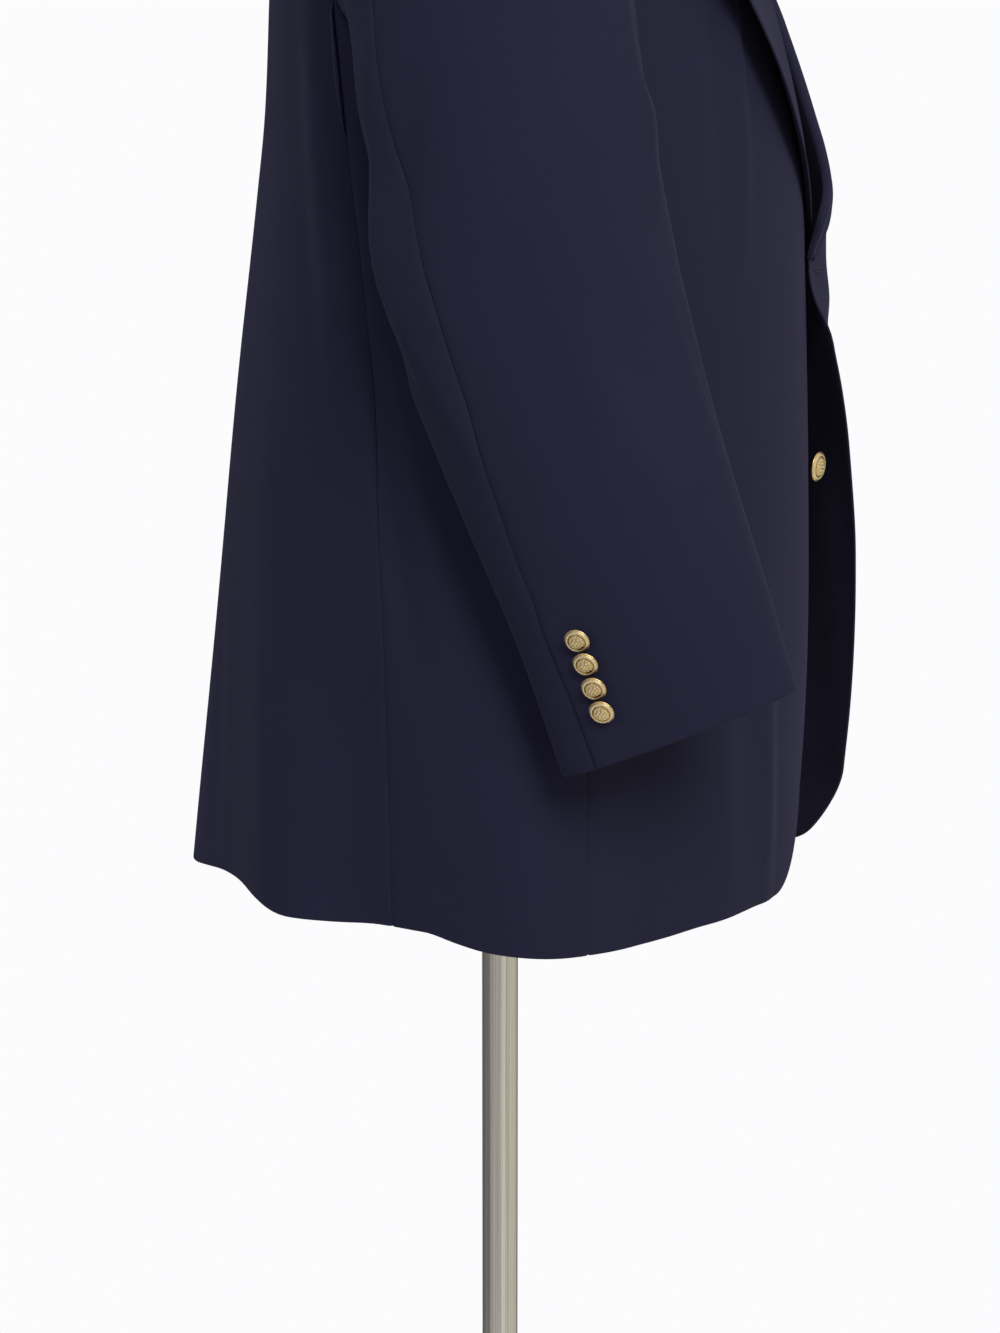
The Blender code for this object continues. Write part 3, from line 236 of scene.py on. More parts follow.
# Up to this level a line down the form's front keeps its angle
FORM_EDGE_FROM = 1.25
NECK_RADIUS, NECK_Y = 0.054, 0.001

# Rows of the cloth
SPLIT_LEVEL = 0.940
BODY_LEVELS = (1.00, 1.06, 1.115, 1.165, 1.20, 1.235)
FRONT_ARMHOLE_LEVELS = (1.2979, 1.345, 1.38, 1.41, 1.43, 1.442, 1.447)
BACK_ARMHOLE_LEVELS = (1.315, 1.345, 1.38, 1.4063, 1.43, 1.442, 1.447)
YOKE_LEVELS = (1.458, 1.469, 1.480, 1.490, 1.497)

# Spacing of the cloth's points from an edge, and how a seam is pressed in
EDGE_SPACING = (0.0, 0.0007, 0.0016, 0.0030)
SEAM_DEPTH, SEAM_WIDTH = 0.0007, 0.0028
BACK_WIDTH, SIDE_WIDTH, FRONT_WIDTH, SLEEVE_METRES_PER_DEG = 0.25, 0.13, 0.30, 0.00115
# How far the edge's middle stands out, as a share of the cloth's thickness
OPEN_BULGE, SEWN_BULGE = 0.42, 0.08
# The sleeve head, as it turns over from the armhole
HEAD_ROWS, SLEEVE_HEAD, HEAD_AIM, HEAD_RISE = 8, 0.10, 0.6, 1.4
# Rows and columns of the finished lapels and collar
LAPEL_GRID, COLLAR_GRID = (100, 72), (190, 60)
# Height of each ring of the form's neck, and its size as a share of NECK_RADIUS
FORM_NECK = (
    (1.5000, 1.30), (1.5040, 1.16), (1.5100, 1.06), (1.5180, 1.02), (1.530, 1.0), (1.546, 1.0),
    (1.558, 1.0), (1.560, 0.97),
)
CAD_MATERIALS = (
    ("neck_cap", "steel_turned"), ("pole", "steel_drawn"), ("hub", "steel_turned"), ("base", "steel_turned"),
)
# A button's face reaches this share of its radius, and stands this share of the head's height
FACE_REACH, FACE_SHARE = 0.95, 0.96
# Round the button's edge to its back: share of the radius, and of the head's height
BUTTON_RIM, RIM_RELIEF = ((0.985, 0.24), (1.0, 0.16), (0.985, 0.07), (0.93, 0.0), (0.5, 0.0)), 0.3
SHANK_RADIUS = 0.0018
FLAP_WIDTH, FLAP_CORNER, FLAP_ROW, FLAP_STAND_OFF, FLAP_LIFT = 0.125, 0.014, 0.004, 0.0026, 0.0012
BUTTONHOLE_LENGTH, BUTTONHOLE_INSET = 0.021, 0.012
# The left lapel's buttonhole: shares of the way up and across the lapel
LAPEL_HOLE = (0.90, 0.74)
# The lapels' lowest end: how far below the break it runs out, and what is left of the fold there
LAPEL_RUN_OUT, LAPEL_END, LAPEL_FOOT, LAPEL_ROW = 0.022, 0.10, 0.003, 0.006
# The cuff's vent: the upper sleeve laps over the under one below VENT_TOP
VENT_TOP, VENT_FADE, VENT_WIDTH, VENT_LIFT = 0.86, 0.03, 0.014, 0.0011

# Creases too fine for the solids. Each runs from its start to its end and fades
# out at both; depth is how far it stands out, or in where it is negative.
Crease = namedtuple("Crease", "start end start_deg end_deg half_width depth")
SLEEVE_CREASES = (
    # along the sleeve, from the shoulder's oval to the cuff
    Crease(0.30, 0.66, 146, 176, 13, 0.0024),
    Crease(0.34, 0.62, 112, 160, 12, -0.0015),
    Crease(0.54, 0.74, 182, 150, 11, -0.0020),
    Crease(0.57, 0.80, 150, 128, 12, 0.0016),
    Crease(0.22, 0.56, 14, -6, 9, -0.0026),
    Crease(0.26, 0.60, 26, 12, 8, 0.0018),
    Crease(0.56, 0.82, 22, 4, 11, -0.0015),
    Crease(0.62, 0.96, 70, 52, 16, 0.0014),
    Crease(0.50, 0.86, 96, 88, 18, -0.0012),
    Crease(0.42, 0.60, 236, 214, 13, -0.0032),
    Crease(0.50, 0.68, 262, 232, 12, 0.0026),
)
# side, low level, high level, angle at each, half width in degrees, depth
BodyCrease = namedtuple("BodyCrease", "side low high low_deg high_deg half_width depth")
BODY_CREASES = (
    BodyCrease(RIGHT, 1.08, 1.42, 143, 151, 3.2, 0.0034),
    BodyCrease(RIGHT, 1.10, 1.36, 137, 144, 4.0, -0.0020),
    BodyCrease(RIGHT, 0.66, 0.98, 155, 150, 4.5, 0.0034),
    BodyCrease(RIGHT, 0.68, 1.02, 146, 143, 5.0, -0.0018),
    BodyCrease(RIGHT, 0.85, 1.14, 87, 71, 4.5, -0.0042),
    BodyCrease(RIGHT, 0.84, 1.10, 95, 79, 5.5, 0.0022),
    BodyCrease(RIGHT, 0.80, 1.02, 110, 90, 5.0, -0.0026),
    BodyCrease(RIGHT, 0.72, 1.14, 52, 44, 8.0, 0.0020),
    BodyCrease(RIGHT, 0.70, 0.98, 24, 20, 7.0, -0.0022),
    BodyCrease(RIGHT, 1.02, 1.42, 38, 20, 13.0, -0.0014),
    BodyCrease(RIGHT, 1.10, 1.40, 57, 47, 9.0, 0.0010),
    BodyCrease(LEFT, 0.84, 1.14, 92, 70, 5.0, -0.0032),
    BodyCrease(LEFT, 0.70, 1.10, 48, 38, 8.0, 0.0020),
    BodyCrease(LEFT, 0.72, 1.02, 130, 124, 8.0, 0.0022),
    BodyCrease(LEFT, 1.00, 1.40, 36, 20, 13.0, -0.0016),
    BodyCrease(LEFT, 1.14, 1.42, 148, 154, 4.0, 0.0020),
    BodyCrease(LEFT, 1.060, 1.132, 187, 187, 6.0, 0.0050),
)
# The dart on each front: from its foot to its top, and how it is pressed in
DART_FOOT, DART_TOP, DART_DEG, DART_HALF_WIDTH, DART_DEPTH = 1.045, 1.235, 133.0, 0.55, 0.0007
# The left front dips towards the right one round its top button: where, how far up, across and in
DIP_LEVEL, DIP_REACH, DIP_WIDTH, DIP_DEPTH = 1.137, 0.026, 0.050, 0.0026

# Colours, in linear light
WOOL_DARK, WOOL_LIGHT = (0.0110, 0.0107, 0.0265), (0.0172, 0.0168, 0.0405)
GOLD_DARK, GOLD_MID, GOLD_BRIGHT = (0.42, 0.23, 0.07), (0.92, 0.68, 0.31), (1.0, 0.90, 0.62)
STEEL_DARK, STEEL_LIGHT = (0.60, 0.565, 0.50), (0.86, 0.82, 0.735)
LINEN_DARK, LINEN_LIGHT = (0.50, 0.46, 0.38), (0.74, 0.70, 0.62)
BACKDROP, PAPER = (0.970, 0.970, 0.985), (0.93, 0.93, 0.94, 1)

# The camera: its focal length in the photograph's pixels, and its place in metres
FOCAL_PIXELS, PHOTO_HEIGHT, SENSOR = 2130.0, 1333.0, 36.0
CAMERA_DISTANCE, CAMERA_HEIGHT, CAMERA_TURN, CAMERA_PITCH = 1.44, 1.072, 8.0, 7.92

FLOOR_RADIUS, FLOOR_FADE = 3.0, (0.42, 0.80)
ROOM_LIGHT = 0.56
# Share of a turn round the room, and its colour there
ROOM_BANDS = (
    (0.0, (0.80, 0.79, 0.77)), (0.070, (0.80, 0.78, 0.75)), (0.090, (1.60, 1.58, 1.54)),
    (0.110, (0.82, 0.79, 0.72)), (0.24, (1.12, 1.07, 0.95)), (0.37, (1.00, 0.97, 0.90)),
    (0.41, (0.14, 0.14, 0.15)), (0.60, (0.16, 0.16, 0.17)), (0.70, (0.30, 0.30, 0.32)),
    (0.84, (0.34, 0.33, 0.34)), (0.88, (0.78, 0.76, 0.76)), (1.0, (0.80, 0.79, 0.77)),
)
# name, place, target, size, watts, whether metal shows it
LIGHTS = (
    ("key", (-2.5, -1.5, 2.9), (0, 0, 1.0), (1.4, 1.4), 76.0, True),
    ("fill", (-2.3, 2.0, 1.9), (0, 0, 1.0), (1.4, 1.8), 21.0, False),
    ("rim", (1.4, 2.6, 1.9), (0, 0, 1.1), (1.0, 2.0), 15.0, False),
    ("top", (0.0, 0.0, 3.4), (0, 0, 1.0), (2.0, 2.0), 19.0, True),
)

# The cut of each piece: width, length and area, in metres
CUTS = {
    "back": ((0.310, 0.845), 0.194),
    "side": ((0.174, 0.502), 0.0656),
    "front": ((0.284, 0.865), 0.177),
    "lapel": ((0.106, 0.294), 0.0221),
    "sleeve_upper": ((0.270, 0.606), 0.103),
    "sleeve_under": ((0.330, 0.446), 0.0985),
    "flap": ((0.140, 0.055), 0.0070),
    "collar": ((0.577, 0.098), 0.0372),
}


# Reading the tables


def smooth(points, at):
    """The value of a table of (place, value) at a place, on a curve with no overshoot."""
    last = len(points) - 1
    if at <= points[0][0]:
        return points[0][1]
    if at >= points[last][0]:
        return points[last][1]
    i = next(k for k in range(last) if at <= points[k + 1][0])
    rise = [
        (points[k + 1][1] - points[k][1]) / (points[k + 1][0] - points[k][0]) if 0 <= k < last else None
        for k in (i - 1, i, i + 1)
    ]

    def slope(before, after):
        if before is None or after is None:
            return after if before is None else before
        return 2 * before * after / (before + after) if before * after > 0 else 0.0

    start, end = slope(rise[0], rise[1]), slope(rise[1], rise[2])
    width = points[i + 1][0] - points[i][0]
    t = (at - points[i][0]) / width
    return (
        points[i][1] * (1 + 2 * t) * (1 - t) ** 2
        + start * width * t * (1 - t) ** 2
        + points[i + 1][1] * t * t * (3 - 2 * t)
        - end * width * t * t * (1 - t)
    )


def column(table, name, key="level"):
    return [(getattr(row, key), getattr(row, name)) for row in table]


RING_CURVES = {name: column(RINGS, name) for name in Ring._fields[1:]}


@lru_cache(maxsize=None)
def ring_size(name, level):
    if level < RINGS[0].level:
        level = RINGS[0].level
    return smooth(RING_CURVES[name], level)


def hump(distance):
    """1 at 0, falling smoothly to 0 at 1 and beyond."""
    return math.cos(min(abs(distance), 1.0) * math.pi / 2) ** 2


def mix(a, b, t):
    return a + (b - a) * t


# The outer face of the coat's body


def fold_height(side, deg, level):
    total = 0.0
    for fold in FOLDS:
        if fold.side != side or level > fold.high:
            continue
        along = max(0.0, (level - fold.low) / (fold.high - fold.low))
        middle = mix(fold.low_deg, fold.high_deg, along)
        total += fold.depth * hump((deg - middle) / fold.half_width) * hump(along)
    seam = smooth(SIDE_BACK_SEAM, level)
    reach = UNDERARM_HIGH - UNDERARM_MID if level > UNDERARM_MID else UNDERARM_MID - UNDERARM_LOW
    for drape in UNDERARM_DRAPES:
        near = hump((deg - seam - drape.offset_deg) / drape.half_width)
        total += drape.depth * near * hump((level - UNDERARM_MID) / reach)
    return total


def body_crease(side, deg, level):
    """How far the fine creases and the dart move the cloth."""
    rise = 0.0
    for crease in BODY_CREASES:
        t = (level - crease.low) / (crease.high - crease.low)
        if crease.side == side and 0 < t < 1:
            middle = mix(crease.low_deg, crease.high_deg, t)
            rise += crease.depth * hump((deg - middle) / crease.half_width) * hump(2 * t - 1)
    dart = (level - DART_FOOT) / (DART_TOP - DART_FOOT)
    if 0 < dart < 1:
        rise -= DART_DEPTH * hump((deg - DART_DEG) / DART_HALF_WIDTH) * min(1.0, 4 * dart, 4 * (1 - dart))
    return rise


def forward_swing(x, level):
    """How far the left front stands forward of the ring at a distance x left of the centre."""
    crest = smooth([row[:2] for row in SWING], level)
    edge = smooth([(row[0], row[2]) for row in SWING], level)
    if x >= SWING_CREST_X:
        return crest * hump((x - SWING_CREST_X) / (SWING_END_X - SWING_CREST_X))
    edge_x = -smooth(FRONT_EDGE[LEFT], level) - SWING_EDGE_MARGIN
    return mix(edge, crest, 1 - hump((x - edge_x) / (SWING_CREST_X - edge_x)))


def button_dip(x, level):
    edge_x = -smooth(FRONT_EDGE[LEFT], level)
    return DIP_DEPTH * hump((x - edge_x) / DIP_WIDTH) * hump((level - DIP_LEVEL) / DIP_REACH)


def ring_place(side, deg, level):
    """(x, y, z) on a ring, without the coat's folds."""
    turn = math.radians(deg)
    across, along = math.sin(turn), math.cos(turn)
    end = "back" if along > 0 else "front"
    z = mix(ring_size("z_side", level), ring_size(f"z_{end}", level), along * along)
    z += min(0.0, level - RINGS[0].level)
    return side * ring_size("half_width", level) * across, ring_size(end, level) * along, z


def smooth_ring(side, deg, level):
    """A ring's point without the coat's folds."""
    return Vector(ring_place(side, deg, level))


def ring_point(side, deg, level):
    """A point of the coat's outer face: deg is the angle from the centre back."""
    turn = math.radians(deg)
    across, along = math.sin(turn), math.cos(turn)
    x, y, z = ring_place(side, deg, level)
    bulge = fold_height(side, deg, level) + body_crease(side, deg, level)
    x += side * bulge * across
    y += bulge * along
    if side == LEFT and along < 0:
        y -= forward_swing(x, level) - button_dip(x, level)
    return Vector((x, y, z))


def normal_at(side, deg, level, surface=ring_point):
    """The way out of the coat's outer face, or of another surface."""
    step_deg, step_level = 0.6, 0.002
    around = surface(side, deg + step_deg, level) - surface(side, deg - step_deg, level)
    up = surface(side, deg, level + step_level) - surface(side, deg, level - step_level)
    return (around.cross(up) * -side).normalized()


def above(side, deg, level, height):
    """A point that lies height above the cloth's outer face."""
    return ring_point(side, deg, level) + normal_at(side, deg, level) * height


def degrees_for(side, deg, level, distance):
    """The angle that a distance along the ring spans there."""
    step_deg = 0.5
    span = ring_point(side, deg + step_deg, level) - ring_point(side, deg - step_deg, level)
    return distance / span.length * 2 * step_deg


def front_edge_deg(side, level):
    """The angle at which the front panel ends."""
    past = smooth(FRONT_EDGE[side], level)
    share = max(-1.0, min(1.0, past / ring_size("half_width", level)))
    return 180.0 + math.degrees(math.asin(share))


def hem_level(side, deg):
    share = (deg - LEFT_DROP_FROM_DEG) / (180 - LEFT_DROP_FROM_DEG)
    drop = LEFT_HEM_DROP * max(0.0, share) if side == LEFT else 0.0
    return smooth(HEM, min(deg, 180)) - drop


# The armhole


def armhole_point(turn_deg):
    """(angle, level) of the armhole: 0 is its front, 90 its top, 180 its back."""
    turn = math.radians(turn_deg)
    width = ARMHOLE_FRONT_DEG if math.cos(turn) > 0 else ARMHOLE_BACK_DEG
    return 90.0 + width * math.cos(turn), ARMHOLE_MIDDLE + ARMHOLE_HALF * math.sin(turn)


def armhole_deg(level, width):
    """The angle of the armhole's edge at a level. A negative width gives its back edge."""
    share = max(-1.0, min(1.0, (level - ARMHOLE_MIDDLE) / ARMHOLE_HALF))
    return 90.0 + width * math.sqrt(max(0.0, 1 - share * share))


def armhole_meets(seam, width):
    """The level where a side seam runs into the armhole."""
    low, high = ARMPIT_LEVEL, ARMHOLE_MIDDLE
    for _ in range(30):
        middle = (low + high) / 2
        inside = abs(smooth(seam, middle) - 90) > abs(armhole_deg(middle, width) - 90)
        low, high = (middle, high) if inside else (low, middle)
    return low


def panel_edge(level, meets, seam, width):
    """The angle of a panel's edge: on its seam, above that on the armhole, and then on the shoulder."""
    if level <= meets:
        return smooth(seam, level)
    return armhole_deg(level, width) if level < SHOULDER_LEVEL else 90.0


def form_point(side, deg, level):
    """A point of the form: the ring, moved in by the cloth and by FORM_INSET."""
    along = math.cos(math.radians(deg))
    behind, beside, before = (smooth([(row[0], row[k]) for row in FORM_INSET], level) for k in (1, 2, 3))
    inset = mix(beside, behind if along > 0 else before, along * along) + WALL + FORM_CLEARANCE
    normal = normal_at(side, deg, level, smooth_ring)
    if level < FORM_LEVEL_BELOW:
        normal.z = 0.0
    return smooth_ring(side, deg, level) - normal * inset


# Finer grids


def finer(places, step):
    """The same places with more between them, no further apart than step."""
    made = [places[0]]
    for a, b in zip(places, places[1:]):
        parts = max(1, math.ceil(abs(b - a) / step - 0.001))
        made += [mix(a, b, k / parts) for k in range(1, parts + 1)]
    return made


def panel_levels(meets, armhole_levels):
    """Levels from the split to the neck, closest where the armhole's top turns over."""
    low = finer((SPLIT_LEVEL,) + BODY_LEVELS + (meets,) + armhole_levels[:-3], STEP)
    return low + finer(armhole_levels[-4:], STEP / 5)[1:] + finer((SHOULDER_LEVEL,) + YOKE_LEVELS, STEP)[1:]


def shares_for(width, step=STEP):
    """Shares across a panel that wide, closer together beside both edges."""
    close = [distance / width for distance in EDGE_SPACING]
    middle = finer([close[-1], 1 - close[-1]], step / width)
    return close[:-1] + middle + [1 - share for share in reversed(close[:-1])]


def catmull(points, t):
    """A point on a smooth curve through points, at t from 0 to 1."""
    last = len(points) - 1
    place = min(t * last, last - 1e-9)
    i = int(place)
    f = place - i
    a, b, c, d = (points[max(0, min(last, k))] for k in (i - 1, i, i + 1, i + 2))
    if i == 0:
        a = b * 2 - c
    if i == last - 1:
        d = c * 2 - b
    square = a * 2 - b * 5 + c * 4 - d
    cube = b * 3 - a - c * 3 + d
    return (b * 2 + (c - a) * f + square * f * f + cube * f * f * f) / 2


def resample(grid, rows, columns):
    """A grid of points on the smooth surface through another grid."""
    wide = [[catmull(line, c / (columns - 1)) for c in range(columns)] for line in grid]
    tall = [[catmull(line, r / (rows - 1)) for r in range(rows)] for line in zip(*wide)]
    return [list(line) for line in zip(*tall)]


# Cloth


def lengths(points):
    walked = [0.0]
    for a, b in zip(points, points[1:]):
        walked.append(walked[-1] + (b - a).length)
    return walked


def press(rows, normals, edge):
    """Sinks the cloth beside one edge of a grid, as along a pressed seam."""
    count_r, count_c = len(rows), len(rows[0])
    if edge in ("start", "end"):
        lines = [[(r, c) for c in range(count_c)] for r in range(count_r)]
    else:
        lines = [[(r, c) for r in range(count_r)] for c in range(count_c)]
    for line in lines:
        if edge in ("end", "high"):
            line.reverse()
        walked = lengths([rows[r][c] for r, c in line])
        for (r, c), distance in zip(line, walked):
            if distance < SEAM_WIDTH:
                rows[r][c] = rows[r][c] - normals[r][c] * SEAM_DEPTH * hump(distance / SEAM_WIDTH)


def grid_normals(rows, away):
    """A normal at each point of a grid, on the side that away points to at its middle."""
    last_r, last_c = len(rows) - 1, len(rows[0]) - 1
    normals = []
    for r in range(last_r + 1):
        line = []
        for c in range(last_c + 1):
            across = rows[r][min(c + 1, last_c)] - rows[r][max(c - 1, 0)]
            up = rows[min(r + 1, last_r)][c] - rows[max(r - 1, 0)][c]
            line.append(across.cross(up).normalized())
        normals.append(line)
    if normals[last_r // 2][last_c].dot(away) < 0:
        normals = [[-normal for normal in line] for line in normals]
    return normals


def rim_of(rows, columns):
    """The places round a grid's rim, in order."""
    low = [(0, c) for c in range(columns)]
    end = [(r, columns - 1) for r in range(1, rows)]
    high = [(rows - 1, c) for c in range(columns - 2, -1, -1)]
    return low + end + high + [(r, 0) for r in range(rows - 2, 0, -1)]


def shell(name, points, faces):
    """A smooth mesh with its faces turned outwards."""
    mesh = bpy.data.meshes.new(name)
    mesh.from_pydata(points, [], faces)
    turned = bmesh.new()
    turned.from_mesh(mesh)
    bmesh.ops.recalc_face_normals(turned, faces=turned.faces)
    turned.to_mesh(mesh)
    turned.free()
    mesh.shade_smooth()
    return mesh


def ring_pairs(rings, around, first=0):
    """Each point of so many rings, with the next one round its ring, counted from first."""
    for k in range(rings):
        for i in range(around):
            yield first + k * around + i, first + k * around + (i + 1) % around


def link(name, data, location=(0, 0, 0), rotation=(1, 0, 0, 0)):
    """An object in the scene, at its place and turned."""
    thing = bpy.data.objects.new(name, data)
    bpy.context.scene.collection.objects.link(thing)
    thing.location = location
    thing.rotation_mode = "QUATERNION"
    thing.rotation_quaternion = rotation
    return thing


def add_piece(name, mesh, material, node=None, **place):
    """A piece of the part's looks, in place of the solid called node if there is one."""
    thing = link(name, mesh, **place)
    mesh.materials.clear()
    mesh.materials.append(MATERIALS[material])
    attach(thing, "root")
    if node:
        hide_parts(node)
    return thing


def rim_point(rows, normals, seams, r, c):
    """The middle of the cloth's edge, rounded out where it isn't sewn to another piece."""
    last_r, last_c = len(rows) - 1, len(rows[0]) - 1
    edges = (
        ("low", r == 0, (1, c)), ("high", r == last_r, (last_r - 1, c)),
        ("start", c == 0, (r, 1)), ("end", c == last_c, (r, last_c - 1)),
    )
    outwards = Vector((0, 0, 0))
    bulge = OPEN_BULGE
    for edge, is_on, (inner_r, inner_c) in edges:
        if is_on:
            outwards += (rows[r][c] - rows[inner_r][inner_c]).normalized()
            bulge = SEWN_BULGE if edge in seams else bulge
    flat = outwards - normals[r][c] * outwards.dot(normals[r][c])
    return rows[r][c] - normals[r][c] * CLOTH / 2 + flat.normalized() * CLOTH * bulge


def cloth_piece(kind, side, rows, away, seams=()):
    """A piece of cloth on a grid of its outer points. side is 0 for a piece with no left and right."""
    node = f"{kind}_{name_of(side)}" if side else kind
    normals = grid_normals(rows, away)
    for edge in seams:
        press(rows, normals, edge)
    count_r, count_c = len(rows), len(rows[0])
    rim = rim_of(count_r, count_c)
    points = [point for line in rows for point in line]
    points += [point - normal * CLOTH for line, at in zip(rows, normals) for point, normal in zip(line, at)]
    points += [rim_point(rows, normals, seams, r, c) for r, c in rim]
    inner, middle = count_r * count_c, 2 * count_r * count_c
    faces = []
    for r in range(count_r - 1):
        for c in range(count_c - 1):
            a, b = r * count_c + c, (r + 1) * count_c + c
            faces.append((a, a + 1, b + 1, b))
            faces.append((inner + a, inner + b, inner + b + 1, inner + a + 1))
    edge_points = [r * count_c + c for r, c in rim]
    for k, here in enumerate(edge_points):
        next_k = (k + 1) % len(rim)
        there = edge_points[next_k]
        faces.append((here, middle + k, middle + next_k, there))
        faces.append((middle + k, inner + here, inner + there, middle + next_k))
    mesh = shell(f"{node}_cloth", points, faces)
    add_grain(mesh, rows, rim)
    piece = add_piece(f"{node}_cloth", mesh, "wool", node)
    flat, area = CUTS[kind]


def add_grain(mesh, rows, rim):
    """UVs in metres on the flat cloth: across its rows and up its columns."""
    middle = len(rows[0]) // 2
    up = lengths([line[middle] for line in rows])
    flat = []
    for line, height in zip(rows, up):
        across = lengths(line)
        flat.append([(place - across[middle], height) for place in across])
    one_face = [place for line in flat for place in line]
    places = one_face * 2 + [flat[r][c] for r, c in rim]
    layer = mesh.uv_layers.new(name="grain")
    for loop in mesh.loops:
        layer.data[loop.index].uv = places[loop.vertex_index]


def name_of(side):
    return "right" if side == RIGHT else "left"


# Body panels


def skirt_rows():
    """How far up from the hem to SPLIT_LEVEL, closer together at the hem."""
    height = SPLIT_LEVEL - HEM_LEVEL
    close = [distance / height for distance in EDGE_SPACING]
    return close[:-1] + finer([close[-1], 1.0], STEP / height)[:-1]


def seam_in(side, deg, level, towards):
    return deg + towards * degrees_for(side, deg, level, SEAM_GAP / 2)


def back_places(side):
    meets = armhole_meets(SIDE_BACK_SEAM, -ARMHOLE_BACK_DEG)
    shares = shares_for(BACK_WIDTH)
    split_deg = smooth(SIDE_BACK_SEAM, SPLIT_LEVEL)
    hem = [hem_level(side, share * split_deg) for share in shares]
    rows = [[mix(foot, SPLIT_LEVEL, step) for foot in hem] for step in skirt_rows()]
    rows += [[level] * len(shares) for level in panel_levels(meets, BACK_ARMHOLE_LEVELS)]
    places = []
    for levels in rows:
        line = []
        for share, level in zip(shares, levels):
            edge = panel_edge(level, meets, SIDE_BACK_SEAM, -ARMHOLE_BACK_DEG)
            start = seam_in(side, 0.0, level, 1)
            end = edge if meets < level < SHOULDER_LEVEL else seam_in(side, edge, level, -1)
            line.append((mix(start, end, share), level))
        places.append(line)
    return places


def side_turn(share):
    """The turn round the armhole at a share of the way along the side panel's top."""
    back_turn = turn_at(armhole_meets(SIDE_BACK_SEAM, -ARMHOLE_BACK_DEG), -1)
    front_turn = turn_at(armhole_meets(SIDE_FRONT_SEAM, ARMHOLE_FRONT_DEG), 1)
    return mix(back_turn, front_turn, share)


def turn_at(level, towards):
    """The turn round the armhole's lower half at a level, on its front or its back."""
    down = math.degrees(math.asin((ARMHOLE_MIDDLE - level) / ARMHOLE_HALF))
    return 360.0 - down if towards > 0 else 180.0 + down


def side_places(side):
    shares = shares_for(SIDE_WIDTH)
    tops = [armhole_point(side_turn(share)) for share in shares]
    split_degs = [smooth(seam, SPLIT_LEVEL) for seam in (SIDE_BACK_SEAM, SIDE_FRONT_SEAM)]
    hem = [hem_level(side, mix(*split_degs, share)) for share in shares]
    rows = [([mix(foot, SPLIT_LEVEL, step) for foot in hem], 0.0) for step in skirt_rows()]
    rows += [([level] * len(shares), 0.0) for level in finer((SPLIT_LEVEL,) + BODY_LEVELS[:-1], STEP)]
    top_foot = BODY_LEVELS[-2]
    for up in finer((0.0, 1.0), STEP / (ARMPIT_LEVEL - top_foot))[1:]:
        rows.append(([mix(top_foot, level, up) for _, level in tops], up))
    places = []
    for levels, up in rows:
        line = []
        for share, level, (top_deg, _) in zip(shares, levels, tops):
            start = seam_in(side, smooth(SIDE_BACK_SEAM, level), level, 1)
            end = seam_in(side, smooth(SIDE_FRONT_SEAM, level), level, -1)
            deg = mix(start, end, share)
            if 0 < share < 1:
                deg = mix(deg, top_deg, up)
            line.append((deg, level))
        places.append(line)
    return places


def front_places(side):
    meets = armhole_meets(SIDE_FRONT_SEAM, ARMHOLE_FRONT_DEG)
    corner_deg = front_edge_deg(side, CORNER_LEVEL)
    flat_deg = corner_deg - degrees_for(side, corner_deg, CORNER_LEVEL, CORNER_WIDTH)
    hem_foot = hem_level(side, flat_deg)

    def corner(turn_deg):
        """(angle, level) on the rounded corner: 0 is on the front edge, 90 on the hem."""
        turn = math.radians(turn_deg)
        return mix(flat_deg, corner_deg, math.cos(turn)), mix(CORNER_LEVEL, hem_foot, math.sin(turn))

    split_start = smooth(SIDE_FRONT_SEAM, SPLIT_LEVEL)
    split_end = front_edge_deg(side, SPLIT_LEVEL)
    seam_foot = hem_level(side, split_start)
    bottom_share, edge_share = 0.80, 0.36

    def bottom(across):
        if across > bottom_share:
            return corner(mix(90, 45, (across - bottom_share) / (1 - bottom_share)))
        deg = mix(smooth(SIDE_FRONT_SEAM, seam_foot), flat_deg, across / bottom_share)
        return deg, hem_level(side, deg)

    def edge(up):
        if up < edge_share:
            return corner(mix(45, 0, up / edge_share))
        level = mix(CORNER_LEVEL, SPLIT_LEVEL, (up - edge_share) / (1 - edge_share))
        return front_edge_deg(side, level), level

    def seam(up):
        level = mix(seam_foot, SPLIT_LEVEL, up)
        return smooth(SIDE_FRONT_SEAM, level), level

    def skirt(across, up):
        """A Coons patch between the hem, the front edge, the seam and the split."""
        place = []
        for k in (0, 1):
            top = (mix(split_start, split_end, across), SPLIT_LEVEL)[k]
            corners = mix(
                mix(bottom(0)[k], bottom(1)[k], across),
                mix((split_start, SPLIT_LEVEL)[k], (split_end, SPLIT_LEVEL)[k], across),
                up,
            )
            ruled = mix(bottom(across)[k], top, up) + mix(seam(up)[k], edge(up)[k], across)
            place.append(ruled - corners)
        return place

    shares = shares_for(FRONT_WIDTH)
    rows = [[skirt(share, step) for share in shares] for step in skirt_rows()]
    for level in panel_levels(meets, FRONT_ARMHOLE_LEVELS):
        start = panel_edge(level, meets, SIDE_FRONT_SEAM, ARMHOLE_FRONT_DEG)
        end = front_edge_deg(side, level)
        rows.append([(mix(start, end, share), level) for share in shares])
    for row in rows:
        deg, level = row[0]
        if not meets < level < SHOULDER_LEVEL:
            row[0] = (seam_in(side, deg, level, 1), level)
    return rows


def body_panel(kind, side, places, seams):
    rows = [[ring_point(side, deg, level) for deg, level in line] for line in places]
    middle = places[len(places) // 2][-1]
    cloth_piece(kind, side, rows, normal_at(side, *middle), seams)


# Lapels and collar


def lapel_level(level, share):
    """Rows of the lapel tip down towards its free edge near the top."""
    rise = max(0.0, (level - BREAK_LEVEL) / (LAPEL_TOP_LEVEL - BREAK_LEVEL))
    return level - LAPEL_TOP_FALL * share * rise**3


